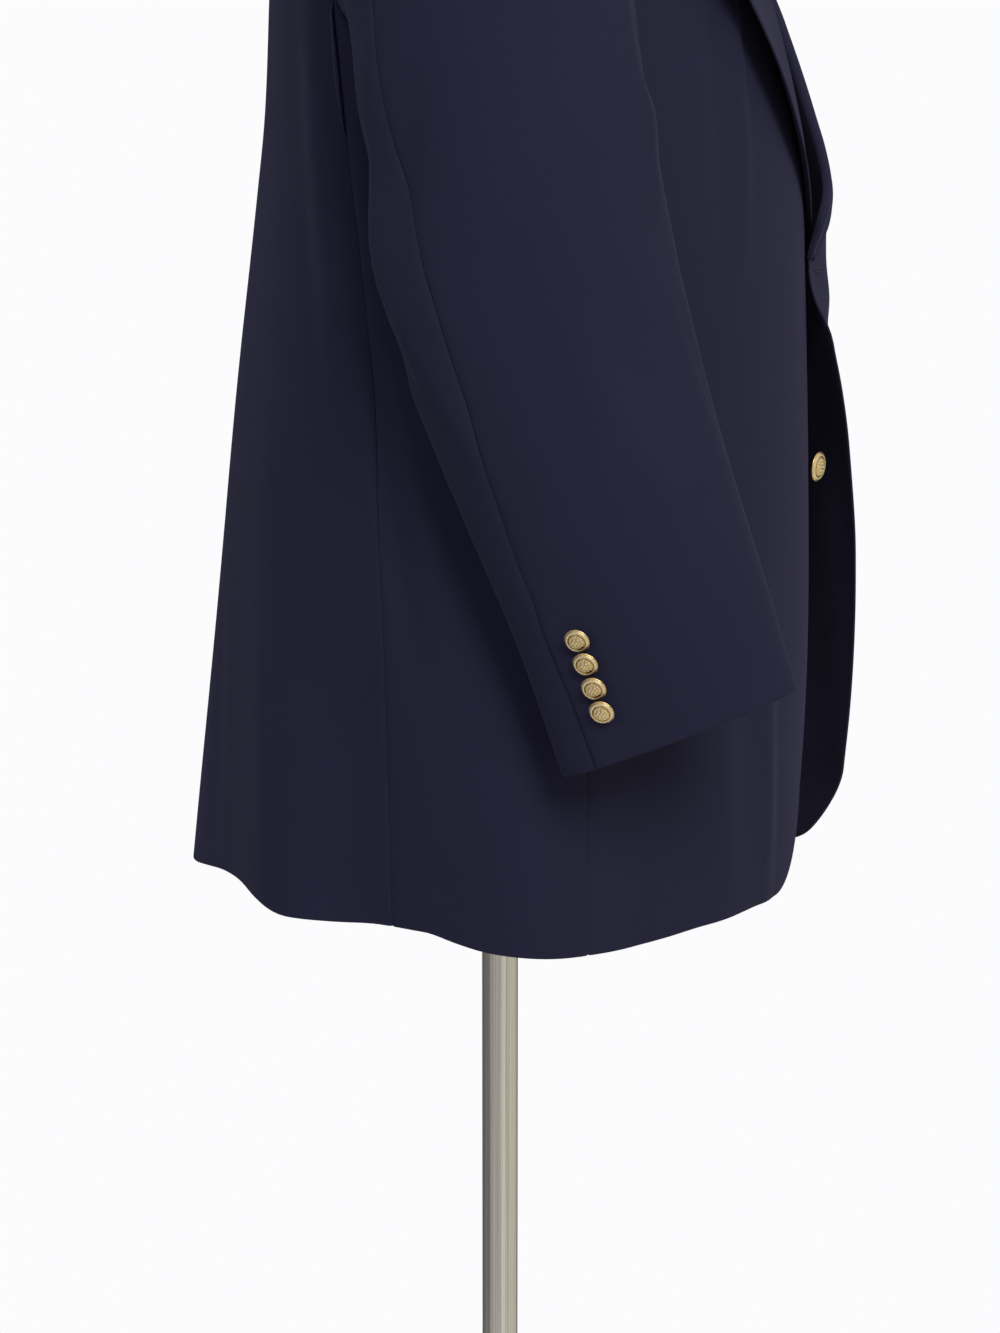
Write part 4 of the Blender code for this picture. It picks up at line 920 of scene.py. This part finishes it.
def fold_frame(side, deg, level, to_back):
    """A point on the cloth's edge, the way on beyond it and the way out; behind the neck, up and out."""
    step = ring_point(side, deg + 0.5, level) - ring_point(side, deg - 0.5, level)
    along, out = step.normalized(), normal_at(side, deg, level)
    base = ring_point(side, deg, level)
    inwards = Vector((-base.x, NECK_Y - base.y, 0)).normalized()
    up = (Vector((0, 0, 1)) + inwards * COLLAR_LEAN).normalized()
    away = (-inwards + Vector((0, 0, 1)) * COLLAR_LEAN).normalized()
    return base, mix(along, up, to_back).normalized(), mix(out, away, to_back).normalized()


def fold(side, deg, level, reach, to_back=0.0, full=1.0):
    base, along, out = fold_frame(side, deg, level, to_back)
    points = []
    for share, height in FOLD_SECTION:
        rise = height * full if height > 0 else height
        points.append(base + along * reach * share + out * rise)
    return points


def evened(rows, fixed):
    """Rows with the points past the first few drawn to a smooth line along the piece."""
    reach = 7
    result = []
    for i, row in enumerate(rows):
        span = min(reach, i, len(rows) - 1 - i)
        near = [(rows[i + step], hump(0.8 * step / (reach + 1))) for step in range(-span, span + 1)]
        total = sum(weight for _, weight in near)
        points = []
        for k, point in enumerate(row):
            share = max(0.0, min(1.0, (k - fixed) / 2))
            mean = sum((other[k] * weight for other, weight in near), Vector()) / total
            points.append(mix(point, mean, share))
        result.append(points)
    return result


def lapel_rows(side):
    """Rows across the fold and the lapel, from below the break to the lapel's top."""
    meets = armhole_meets(SIDE_FRONT_SEAM, ARMHOLE_FRONT_DEG)
    levels = [BREAK_LEVEL] + [level for level in BODY_LEVELS if level > BREAK_LEVEL] + [meets]
    levels += [level for level in FRONT_ARMHOLE_LEVELS if level < LAPEL_TOP_LEVEL] + [LAPEL_TOP_LEVEL]
    below = [BREAK_LEVEL - LAPEL_RUN_OUT * share for share in (1.0, 0.9, 0.7, 0.45, 0.2)]
    rows = []
    for level in below + finer(levels, LAPEL_ROW):
        if level < BREAK_LEVEL:
            left = max(0.0, 1 - (BREAK_LEVEL - level) / LAPEL_RUN_OUT)
            full = mix(LAPEL_END, BREAK_SHARE, math.sqrt(left))
            width = mix(LAPEL_FOOT, smooth(LAPEL_WIDTH, BREAK_LEVEL), math.sqrt(left))
        else:
            full = mix(BREAK_SHARE, 1.0, min(1.0, (level - BREAK_LEVEL) / FOLD_RISE))
            width = smooth(LAPEL_WIDTH, level)
        row = fold(side, front_edge_deg(side, level), level, FOLD_REACH * full, 0.0, full)
        for share in (0.0, 0.16, 0.36, 0.58, 0.80, 1.0):
            place = lapel_level(level, share)
            start = front_edge_deg(side, place)
            deg = start - degrees_for(side, start - 8, place, mix(LAPEL_FOOT, width, share))
            lift = smooth(LAPEL_LIFT, level) * share**2 * min(1.0, full / BREAK_SHARE)
            row.append(above(side, deg, place, LAPEL_STAND_OFF * full + lift))
        rows.append(row)
    return resample(evened(rows, len(FOLD_SECTION)), *LAPEL_GRID)


def neck_path():
    """(side, angle, level) along the roll line, from the right gorge round the neck to the left one."""
    half = []
    for level in (COLLAR_FRONT_LEVEL, 1.442, 1.447, 1.458, 1.469, 1.480, 1.490, 1.497):
        half.append((front_edge_deg(RIGHT, level), level))
    for deg in (99, 85, 71, 57, 43, 29, 14):
        half.append((deg, NECK_LEVEL))
    path = [(RIGHT, deg, level) for deg, level in half] + [(RIGHT, 0.0, NECK_LEVEL)]
    return path + [(LEFT, deg, level) for deg, level in reversed(half)]


def walk(side, deg, level, distance, down):
    """The place that far over the cloth: straight down it if down is 1, level round it if 0."""
    step_level = 0.0006
    walked, here = 0.0, ring_point(side, deg, level)
    while walked < distance:
        deg -= (1 - down) * degrees_for(side, deg, level, MILLIMETRE)
        level -= down * step_level
        there = ring_point(side, deg, level)
        walked += (there - here).length
        here = there
    return deg, level


def collar_turn(deg, level):
    """How far the fold has turned from a lapel's, at 0, to the stand behind the neck, at 1."""
    if level < NECK_LEVEL:
        turn = (level - COLLAR_RISE_FROM) * COLLAR_RISE_RATE
    else:
        turn = (COLLAR_TURN_FROM_DEG - deg) / COLLAR_TURN_SPAN_DEG
    return max(0.0, min(1.0, turn)) ** 0.8


def collar_rows():
    """Rows across the collar, from its stand over the fold to the fall's edge."""
    rows = []
    for side, deg, level in neck_path():
        to_back = collar_turn(deg, level)
        row = fold(side, deg, level, mix(FOLD_REACH, COLLAR_STAND, to_back), to_back)
        base, along, out = fold_frame(side, deg, level, to_back)
        share, height = FOLD_SECTION[0]
        row[0] = base + along * FOLD_REACH * share + out * height
        top = row[-1]
        lap = mix(COLLAR_LAP_FRONT, COLLAR_LAP_BACK, to_back)
        foot = above(side, *walk(side, deg, level, lap, to_back), COLLAR_STAND_OFF)
        for share in COLLAR_LAPS:
            lain = walk(side, deg, level, max(COLLAR_LEAST_LAP, lap * share), to_back)
            lies = above(side, *lain, COLLAR_STAND_OFF)
            hangs = mix(top, foot, mix(COLLAR_HANG_START, 1, share))
            row.append(mix(lies, hangs, min(1.0, to_back * COLLAR_HANG_RATE)))
        rows.append(row)
    return resample(rows, *COLLAR_GRID)


# Sleeves


@lru_cache(maxsize=None)
def oval_at(along):
    """The oval a share of the way down the sleeve, as in SLEEVE."""
    last = len(SLEEVE) - 1
    values = {}
    for name in Oval._fields:
        curve = [(k, getattr(row, name)) for k, row in enumerate(SLEEVE)]
        values[name] = smooth(curve, along * last)
    return Oval(**values)


def sleeve_point(side, along, turn_deg):
    """A point on a sleeve's outer face. along is 0 at the first oval and 1 at the cuff."""
    oval = oval_at(along)
    turn = math.radians(turn_deg)
    lean = math.radians(oval.lean_deg)
    under = Vector((oval.under_x, 0, oval.under_z))
    over = Vector((oval.over_x, 0, oval.over_z))
    forward = Vector((0, -math.cos(lean), math.sin(lean)))
    point = mix(under, over, (1 + math.sin(turn)) / 2) + Vector((0, oval.y, 0))
    point += forward * oval.half_width * math.cos(turn)
    middle = (under + over) / 2 + Vector((0, oval.y, 0))
    out = (point - middle).normalized()
    rise = 0.0
    for place, deg, half_length, half_width, depth in SLEEVE_FOLDS:
        away = (turn_deg - deg + 180) % 360 - 180
        rise += depth * hump((along - place) / half_length) * hump(away / half_width)
    point += out * (rise + sleeve_crease(along, turn_deg))
    return Vector((point.x * -side, point.y, point.z))


def sleeve_crease(along, turn_deg):
    rise = 0.0
    for crease in SLEEVE_CREASES:
        t = (along - crease.start) / (crease.end - crease.start)
        if 0 < t < 1:
            away = (turn_deg - mix(crease.start_deg, crease.end_deg, t) + 180) % 360 - 180
            rise += crease.depth * hump(away / crease.half_width) * hump(2 * t - 1)
    return rise


def armhole_start(side, turn_deg):
    """Where the sleeve begins: just off the armhole's edge, towards the armhole's middle."""
    deg, level = armhole_point(turn_deg)
    edge = ring_point(side, deg, level)
    normal = normal_at(side, deg, level)
    inner = ring_point(side, 90.0, ARMHOLE_MIDDLE) - edge
    inner = (inner - normal * inner.dot(normal)).normalized()
    return edge + normal * SEAM_GAP * HEAD_RISE + inner * SEAM_GAP


def sleeve_normal(side, along, turn):
    low, high = min(along + 0.01, 1.0), max(along - 0.01, 0.0)
    down = sleeve_point(side, low, turn) - sleeve_point(side, high, turn)
    around = sleeve_point(side, along, turn + 2) - sleeve_point(side, along, turn - 2)
    return (around.cross(down) * -side).normalized()


def sleeve_head(side, turns, below):
    """Rows from the armhole's edge to the sleeve's first oval, turned over towards the row below it."""
    head = []
    for turn in turns:
        first, second = armhole_start(side, turn), sleeve_point(side, 0.0, turn)
        upwards = (second - sleeve_point(side, below, turn)).normalized()
        aim = mix(first, second, HEAD_AIM) + upwards * (second - first).length * SLEEVE_HEAD
        head.append((first, aim, second))
    rows = []
    for k in range(HEAD_ROWS):
        t = k / HEAD_ROWS
        rows.append([a * (1 - t) ** 2 + b * 2 * t * (1 - t) + c * t * t for a, b, c in head])
    return rows


def sleeve_row(kind, side, turns, along):
    """A row across a sleeve panel. At the cuff's vent the upper sleeve laps over the under one."""
    laps = kind == "sleeve_upper" and along > VENT_TOP
    lift = VENT_LIFT * (1 - hump((along - VENT_TOP) / VENT_FADE)) if laps else 0.0
    line = []
    for turn in turns:
        point = sleeve_point(side, along, turn)
        from_seam = (turns[-1] - turn) * SLEEVE_METRES_PER_DEG
        if lift > 0 and from_seam < VENT_WIDTH:
            point += sleeve_normal(side, along, turn) * lift * hump(from_seam / VENT_WIDTH)
        line.append(point)
    return line


def sleeve_panel(kind, side, start, end):
    """A sleeve's piece between two seams, each given as a table like HINDARM_SEAM_DEG."""
    gap = math.degrees(SEAM_GAP / 2 / SLEEVE_RADIUS)
    shares = shares_for((smooth(end, 0.5) - smooth(start, 0.5)) * SLEEVE_METRES_PER_DEG)
    close = [distance / SLEEVE_LENGTH for distance in EDGE_SPACING]
    down = finer([0.0, 1 - close[-1]], STEP / SLEEVE_LENGTH)[:-1] + [1 - share for share in reversed(close)]

    def turns(along):
        return [mix(smooth(start, along) + gap, smooth(end, along) - gap, share) for share in shares]

    rows = sleeve_head(side, turns(0), down[1])
    rows += [sleeve_row(kind, side, turns(along), along) for along in down]
    rows.reverse()
    away = sleeve_normal(side, 0.5, smooth(end, 0.5))
    cloth_piece(kind, side, rows, away, SEWN_EDGES)


# The form, under the coat


def form_rings():
    """Rings of points up the form, and on up its neck."""
    rings = []
    for level in finer(FORM_LEVELS, FORM_ROW):
        edge = front_edge_deg(RIGHT, max(level, FORM_EDGE_FROM))
        degs = [90 * i / FORM_COLUMNS for i in range(FORM_COLUMNS)]
        degs += [mix(90, edge, i / FORM_COLUMNS) for i in range(FORM_COLUMNS + 1)]
        degs += [mix(edge, 180, i / 8) for i in range(1, 9)]
        ring = [form_point(RIGHT, deg, level) for deg in degs]
        ring += [form_point(LEFT, deg, level) for deg in degs[-2:0:-1]]
        shrink = 1 - FORM_DRAWN_IN * hump((level - FORM_BOTTOM) / FORM_ROUNDED)
        rings.append([Vector((point.x * shrink, point.y * shrink, point.z)) for point in ring])
    turns = [math.atan2(point.x, point.y - NECK_Y) for point in rings[-1]]
    for height, scale in FORM_NECK:
        radius = NECK_RADIUS * scale
        rings.append([Vector((radius * math.sin(a), NECK_Y + radius * math.cos(a), height)) for a in turns])
    return rings


def form_cover():
    rings = form_rings()
    around = len(rings[0])
    points = [point for ring in rings for point in ring]
    faces = [(a, b, b + around, a + around) for a, b in ring_pairs(len(rings) - 1, around)]
    faces.append(tuple(range(around - 1, -1, -1)))
    faces.append(tuple(range(len(points) - around, len(points))))
    add_piece("form_cover", shell("form_cover", points, faces), "linen", "form_torso")


# Pocket flaps


def pocket_flap(side):
    shares = shares_for(FLAP_WIDTH)
    rows = []
    for up in finer((0.0, 1.0), FLAP_ROW / FLAP_DEPTH):
        line = []
        for share in shares:
            deg = mix(FLAP_START_DEG, FLAP_END_DEG, share)
            corner = max(0.0, FLAP_CORNER - min(share, 1 - share) * FLAP_WIDTH)
            lift = FLAP_CORNER - math.sqrt(max(0.0, FLAP_CORNER**2 - corner**2))
            top = FLAP_LEVEL - FLAP_TILT * share
            level = top - (FLAP_DEPTH - lift) * (1 - up)
            line.append(above(side, deg, level, FLAP_STAND_OFF + FLAP_LIFT * (1 - up)))
        rows.append(line)
    away = normal_at(side, (FLAP_START_DEG + FLAP_END_DEG) / 2, FLAP_LEVEL)
    cloth_piece("flap", side, rows, away, ("high",))


# Buttons


def dome_height(share):
    return (1 - share**2.4 * 0.70) * 0.78


def face_height(share, turn):
    """The relief of a button's face: a dome with a rosette, leaves and a rope rim."""
    petals = 0.5 + 0.5 * math.cos(6 * turn)
    rosette = hump(share / 0.16) * 0.10 + hump((share - 0.27) / 0.15) * petals * 0.16
    leaves = hump((share - 0.50) / 0.11) * (0.5 + 0.5 * math.cos(14 * turn + share * 16)) * 0.13
    groove = -hump((share - 0.67) / 0.06) * 0.05
    rope = hump((share - 0.82) / 0.13) * (0.11 + 0.04 * math.cos(36 * turn + share * 30))
    return dome_height(share) + rosette + leaves + groove + rope


def hollow_share(share, turn):
    """How far a place on the face stands above its dome, from 0 in a hollow to 1 on the relief."""
    return max(0.0, min(1.0, 0.30 + (face_height(share, turn) - dome_height(share)) * 5.0))


def button_mesh(name, button, around=120, out=30):
    """A button's head on its shank, in its own frame with +Z out of the cloth."""
    radius, head, lift = button.diameter / 2, button.head, button.lift
    turns = [math.tau * i / around for i in range(around)]
    rings = []
    for k in range(1, out + 1):
        share = FACE_REACH * k / out
        rings.append([(share, face_height(share, turn), hollow_share(share, turn)) for turn in turns])
    for share, height in BUTTON_RIM + ((SHANK_RADIUS / radius, 0.0),):
        rings.append([(share, height / FACE_SHARE, RIM_RELIEF)] * around)
    points = [Vector((0, 0, lift + head * face_height(0, 0) * FACE_SHARE))]
    reliefs = [1.0]
    for ring in rings:
        for turn, (share, height, relief) in zip(turns, ring):
            x, y = radius * share * math.cos(turn), radius * share * math.sin(turn)
            points.append(Vector((x, y, lift + head * height * FACE_SHARE)))
            reliefs.append(relief)
    points += [Vector((SHANK_RADIUS * math.cos(a), SHANK_RADIUS * math.sin(a), button.foot)) for a in turns]
    reliefs += [0.0] * around
    faces = [(0, 1 + i, 1 + (i + 1) % around) for i in range(around)]
    faces += [(a, a + around, b + around, b) for a, b in ring_pairs(len(rings), around, 1)]
    faces.append(tuple(range(len(points) - around, len(points))))
    mesh = shell(name, points, faces)
    mesh.attributes.new("relief", "FLOAT", "POINT").data.foreach_set("value", reliefs)
    return mesh


def add_button(node, mesh, button, point, normal):
    lean = math.radians(button.lean_deg)
    towards = Vector(button.lean_to)
    towards = (towards - normal * towards.dot(normal)).normalized()
    axis = normal * math.cos(lean) + towards * math.sin(lean)
    add_piece(f"{node}_metal", mesh, "gold", node, location=point, rotation=axis.to_track_quat("Z", "Y"))


def buttons():
    front = (("top", TOP_BUTTON, TOP_BUTTON_LEVEL), ("lower", LOWER_BUTTON, LOWER_BUTTON_LEVEL))
    for name, button, level in front:
        point, normal = ring_point(RIGHT, 180.0, level), normal_at(RIGHT, 180.0, level)
        add_button(f"front_button_{name}", button_mesh(f"front_{name}", button), button, point, normal)
    cuff = button_mesh("cuff", CUFF_BUTTON)
    for side in SIDES:
        for i in range(CUFF_BUTTONS):
            along, turn = cuff_button_place(side, i)
            point, normal = sleeve_point(side, along, turn), sleeve_normal(side, along, turn)
            add_button(f"cuff_button_{name_of(side)}_{i + 1}", cuff, CUFF_BUTTON, point, normal)


def cuff_button_place(side, number):
    """(along, turn) of a cuff button, counted up from the cuff."""
    turn = smooth(HINDARM_SEAM_DEG, 1.0) - CUFF_BUTTON_INSET_DEG
    target = CUFF_BUTTON_START + number * CUFF_BUTTON_PITCH
    step, along, walked = 0.0005, 1.0, 0.0
    here = sleeve_point(side, along, turn)
    while walked < target:
        along -= step
        there = sleeve_point(side, along, turn)
        walked += (there - here).length
        here = there
    return along, turn


# Sewn buttonholes


def stitched_ring(name, place):
    """A buttonhole's two rows of close stitches. place(x, y, height) gives a point on the cloth."""
    across, stitch, lift, around, sides = 0.0011, 0.00042, 0.00012, 168, 8
    straight = BUTTONHOLE_LENGTH / 2 - across
    points = []
    for i in range(around):
        turn = math.tau * i / around
        along, aside = math.cos(turn), math.sin(turn)
        x = across * along + math.copysign(straight, along) * min(1.0, abs(along) * 6)
        y = across * aside
        wide = stitch * (1 + 0.32 * math.cos(math.pi * i))
        for k in range(sides):
            round_thread = math.tau * k / sides
            out = wide * math.cos(round_thread)
            points.append(place(x + out * along, y + out * aside, lift + wide * math.sin(round_thread)))
    count = len(points)
    faces = [(a, b, (b + sides) % count, (a + sides) % count) for a, b in ring_pairs(around, sides)]
    add_piece(name, shell(name, points, faces), "thread")


def front_buttonhole(name, level):
    """On the left front, its outer end BUTTONHOLE_INSET from the edge."""
    edge = front_edge_deg(LEFT, level)
    middle = edge - degrees_for(LEFT, edge - 5, level, BUTTONHOLE_INSET + BUTTONHOLE_LENGTH / 2)
    per_metre = degrees_for(LEFT, middle, level, 1.0)

    def place(x, y, height):
        return above(LEFT, middle + x * per_metre, level + y, height)

    stitched_ring(name, place)


def lapel_buttonhole(rows):
    """On the left lapel, at right angles to its free edge and near its top."""
    r, c = int(len(rows) * LAPEL_HOLE[0]), int(len(rows[0]) * LAPEL_HOLE[1])
    centre, normal = rows[r][c], grid_normals(rows, FORWARD)[r][c]
    along = (rows[r][c + 6] - rows[r][c - 6]).normalized()
    side = normal.cross(along).normalized()

    def place(x, y, height):
        return centre + along * x + side * y + normal * (height + SEAM_GAP)

    stitched_ring("lapel_buttonhole", place)


# Materials


def node_tree(name):
    material = bpy.data.materials.new(name)
    material.use_nodes = True
    tree = material.node_tree
    return material, tree, tree.nodes["Principled BSDF"]


def fill(tree, node, inputs):
    """Sets inputs of a node by name or number, each to a value or to another node's output."""
    for key, value in inputs.items():
        if isinstance(value, bpy.types.NodeSocket):
            tree.links.new(value, node.inputs[key])
        else:
            node.inputs[key].default_value = value


def add_node(tree, kind, inputs=None, **settings):
    node = tree.nodes.new(f"ShaderNode{kind}")
    for key, value in settings.items():
        setattr(node, key, value)
    fill(tree, node, inputs or {})
    return node


def ramp(tree, factor, stops):
    node = add_node(tree, "ValToRGB", {"Fac": factor})
    for k, (place, colour) in enumerate(stops):
        element = node.color_ramp.elements[k] if k < 2 else node.color_ramp.elements.new(place)
        element.position = place
        element.color = (*colour, 1)
    return node.outputs["Color"]


def mapped(tree, factor, low, high):
    return add_node(tree, "MapRange", {"Value": factor, "To Min": low, "To Max": high}).outputs["Result"]


def weighted(tree, *parts):
    """The sum of outputs, each given with its weight."""
    total = 0.0
    for part, weight in parts:
        total = add_node(tree, "Math", {0: part, 1: weight, 2: total}, operation="MULTIPLY_ADD").outputs[0]
    return total


def pattern(tree, kind, place, scale, inputs=None, **settings):
    """The strength of a Noise or Wave texture at a place."""
    made = add_node(tree, f"Tex{kind}", {"Vector": place, "Scale": scale}, **settings)
    fill(tree, made, inputs or {})
    return made.outputs["Fac"]


def dress(tree, shader, height, strength, distance, inputs):
    """Fills the shader's inputs and lays the fine relief of height over its surface."""
    bump = add_node(tree, "Bump", {"Height": height, "Strength": strength, "Distance": distance})
    fill(tree, shader, {**inputs, "Normal": bump.outputs["Normal"]})


def wool():
    """Fine worsted twill: diagonal lines 0.9 mm apart, crossed threads, and faint slubs."""
    material, tree, shader = node_tree("wool_twill")
    grain = add_node(tree, "TexCoord").outputs["UV"]
    waver = {"Distortion": 0.6, "Detail Scale": 2.0}
    twill = pattern(tree, "Wave", grain, 700.0, waver, bands_direction="DIAGONAL")
    threads = pattern(tree, "Wave", grain, 900.0, bands_direction="X")
    slubs = pattern(tree, "Noise", grain, 260.0, {"Detail": 3.0})
    clouds = pattern(tree, "Noise", grain, 9.0, {"Detail": 4.0})
    shade = weighted(tree, (twill, 0.30), (threads, 0.12), (slubs, 0.28), (clouds, 0.30))
    height = weighted(tree, (twill, 0.6), (threads, 0.25), (slubs, 0.5))
    dress(tree, shader, height, 0.45, 0.00012, {
        "Base Color": ramp(tree, shade, ((0.25, WOOL_DARK), (0.75, WOOL_LIGHT))),
        "Roughness": mapped(tree, slubs, 0.70, 0.90),
        "Specular IOR Level": 0.10,
        "Sheen Weight": 0.07,
        "Sheen Roughness": 0.45,
        "Sheen Tint": (0.50, 0.48, 0.85, 1),
    })
    return material


def thread():
    """Buttonhole twist: a little glossier than the cloth, with fine turns."""
    material, tree, shader = node_tree("thread")
    place = add_node(tree, "TexCoord").outputs["Object"]
    twist = pattern(tree, "Noise", place, 2600.0)
    dress(tree, shader, twist, 0.5, 0.0001, {
        "Base Color": ramp(tree, twist, ((0.3, WOOL_DARK), (0.7, WOOL_LIGHT))),
        "Roughness": mapped(tree, twist, 0.45, 0.65),
    })
    return material


def gold():
    """Gilt metal, bright on the raised relief and brown in its hollows."""
    material, tree, shader = node_tree("gilt_metal")
    relief = add_node(tree, "Attribute", attribute_name="relief").outputs["Fac"]
    place = add_node(tree, "TexCoord").outputs["Object"]
    wear = pattern(tree, "Noise", place, 900.0, {"Detail": 4.0})
    shade = weighted(tree, (relief, 0.70), (wear, 0.50))
    dress(tree, shader, wear, 0.25, 0.0001, {
        "Base Color": ramp(tree, shade, ((0.30, GOLD_DARK), (0.52, GOLD_MID), (0.85, GOLD_BRIGHT))),
        "Roughness": mapped(tree, wear, 0.18, 0.44),
        "Metallic": 1.0,
    })
    return material


def steel(name, turned):
    """Brushed stainless steel: brushed round its axis where it was turned, and else along it."""
    material, tree, shader = node_tree(name)
    place = add_node(tree, "TexCoord").outputs["Object"]
    if turned:
        flat = add_node(tree, "VectorMath", {0: place, 1: (1, 1, 0)}, operation="MULTIPLY")
        reach = add_node(tree, "VectorMath", {0: flat.outputs[0]}, operation="LENGTH")
        height = add_node(tree, "SeparateXYZ", {"Vector": place}).outputs["Z"]
        stretched = add_node(tree, "CombineXYZ", {"X": reach.outputs["Value"], "Y": height})
        scale = 900.0
    else:
        stretched = add_node(tree, "Mapping", {"Vector": place, "Scale": (900, 900, 3)})
        scale = 1.0
    brushing = pattern(tree, "Noise", stretched.outputs["Vector"], scale, {"Detail": 6.0})
    dress(tree, shader, brushing, 0.10, 0.0001, {
        "Base Color": ramp(tree, brushing, ((0.3, STEEL_DARK), (0.7, STEEL_LIGHT))),
        "Roughness": mapped(tree, brushing, 0.14, 0.30),
        "Metallic": 1.0,
    })
    return material


def linen():
    """Plain-woven linen over the form: crossed threads 1.1 mm apart, with slubs."""
    material, tree, shader = node_tree("linen_cover")
    place = add_node(tree, "TexCoord").outputs["Object"]
    across, down = (
        pattern(tree, "Wave", place, 280.0, {"Distortion": 1.5}, bands_direction=axis) for axis in "XZ"
    )
    slubs = pattern(tree, "Noise", place, 120.0)
    weave = weighted(tree, (across, 0.3), (down, 0.3), (slubs, 0.4))
    dress(tree, shader, weave, 0.4, 0.0004, {
        "Base Color": ramp(tree, weave, ((0.2, LINEN_DARK), (0.8, LINEN_LIGHT))),
        "Roughness": 0.9,
    })
    return material


# The studio


def paper_floor():
    """A pale floor that fades into the background with distance from the stand."""
    mesh = bpy.data.meshes.new("floor")
    disc = bmesh.new()
    bmesh.ops.create_circle(disc, cap_ends=True, segments=96, radius=FLOOR_RADIUS)
    disc.to_mesh(mesh)
    disc.free()
    thing = link("floor", mesh, (0, 0, -MILLIMETRE))
    material, tree, shader = node_tree("paper")
    fill(tree, shader, {"Base Color": PAPER, "Roughness": 0.95, "Specular IOR Level": 0.05})
    place = add_node(tree, "TexCoord").outputs["Object"]
    reach = add_node(tree, "VectorMath", {0: place}, operation="LENGTH").outputs["Value"]
    limits = {"Value": reach, "From Min": FLOOR_FADE[0], "From Max": FLOOR_FADE[1]}
    fade = add_node(tree, "MapRange", limits, interpolation_type="SMOOTHSTEP").outputs["Result"]
    clear = add_node(tree, "BsdfTransparent").outputs["BSDF"]
    mixed = add_node(tree, "MixShader", {"Fac": fade, 1: shader.outputs["BSDF"], 2: clear})
    fill(tree, tree.nodes["Material Output"], {"Surface": mixed.outputs["Shader"]})
    mesh.materials.append(material)


def world():
    """White to the camera; a dimmer room, with darker bands for the metal, to everything else."""
    made = bpy.data.worlds.new("studio")
    bpy.context.scene.world = made
    made.use_nodes = True
    tree = made.node_tree
    white = tree.nodes["Background"]
    fill(tree, white, {"Color": (*BACKDROP, 1)})
    place = add_node(tree, "TexCoord").outputs["Generated"]
    parts = add_node(tree, "SeparateXYZ", {"Vector": place}).outputs
    azimuth = add_node(tree, "Math", {0: parts["Y"], 1: parts["X"]}, operation="ARCTAN2").outputs[0]
    limits = {"Value": azimuth, "From Min": -math.pi, "From Max": math.pi}
    share = add_node(tree, "MapRange", limits).outputs["Result"]
    room = add_node(tree, "Background", {"Color": ramp(tree, share, ROOM_BANDS), "Strength": ROOM_LIGHT})
    in_view = add_node(tree, "LightPath").outputs["Is Camera Ray"]
    backgrounds = {1: room.outputs["Background"], 2: white.outputs["Background"]}
    mixed = add_node(tree, "MixShader", {"Fac": in_view, **backgrounds})
    fill(tree, tree.nodes["World Output"], {"Surface": mixed.outputs["Shader"]})


def area_light(name, place, target, size, power, in_metal):
    data = bpy.data.lights.new(name, "AREA")
    data.shape = "RECTANGLE"
    data.size, data.size_y = size
    data.energy = power
    lamp = link(name, data, place, (Vector(target) - Vector(place)).to_track_quat("-Z", "Y"))
    lamp.visible_glossy = in_metal


def camera():
    data = bpy.data.cameras.new("camera")
    data.sensor_width = SENSOR
    data.lens = FOCAL_PIXELS * SENSOR / PHOTO_HEIGHT
    turn, pitch = math.radians(CAMERA_TURN), math.radians(CAMERA_PITCH)
    ahead = Vector((math.cos(turn), math.sin(turn), 0))
    place = -ahead * CAMERA_DISTANCE + Vector((0, 0, CAMERA_HEIGHT))
    aim = ahead * math.cos(pitch) - Vector((0, 0, math.sin(pitch)))
    bpy.context.scene.camera = link("camera", data, place, aim.to_track_quat("-Z", "Y"))


# Putting it together


def finish_cad():
    """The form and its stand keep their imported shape, with better materials."""
    for node, material in CAD_MATERIALS:
        thing = frame["nodes"][node]
        thing.data.materials.clear()
        thing.data.materials.append(MATERIALS[material])


MATERIALS = {
    "wool": wool(),
    "thread": thread(),
    "gold": gold(),
    "linen": linen(),
    "steel_drawn": steel("steel_drawn", turned=False),
    "steel_turned": steel("steel_turned", turned=True),
}

bpy.context.scene.view_settings.view_transform = "Standard"
camera()
world()
paper_floor()
for lamp in LIGHTS:
    area_light(*lamp)
finish_cad()
form_cover()
for side in SIDES:
    body_panel("back", side, back_places(side), SEWN_EDGES)
    body_panel("side", side, side_places(side), SEWN_EDGES)
    body_panel("front", side, front_places(side), ("start",))
    lapel = lapel_rows(side)
    cloth_piece("lapel", side, lapel, FORWARD)
    sleeve_panel("sleeve_upper", side, FOREARM_SEAM_DEG, HINDARM_SEAM_DEG)
    sleeve_panel("sleeve_under", side, HINDARM_SEAM_DEG, FOREARM_AGAIN_DEG)
    pocket_flap(side)
    if side == LEFT:
        front_buttonhole("buttonhole_top", TOP_BUTTON_LEVEL)
        front_buttonhole("buttonhole_lower", LOWER_BUTTON_LEVEL)
        lapel_buttonhole(lapel)
cloth_piece("collar", 0, collar_rows(), BACKWARD)
buttons()
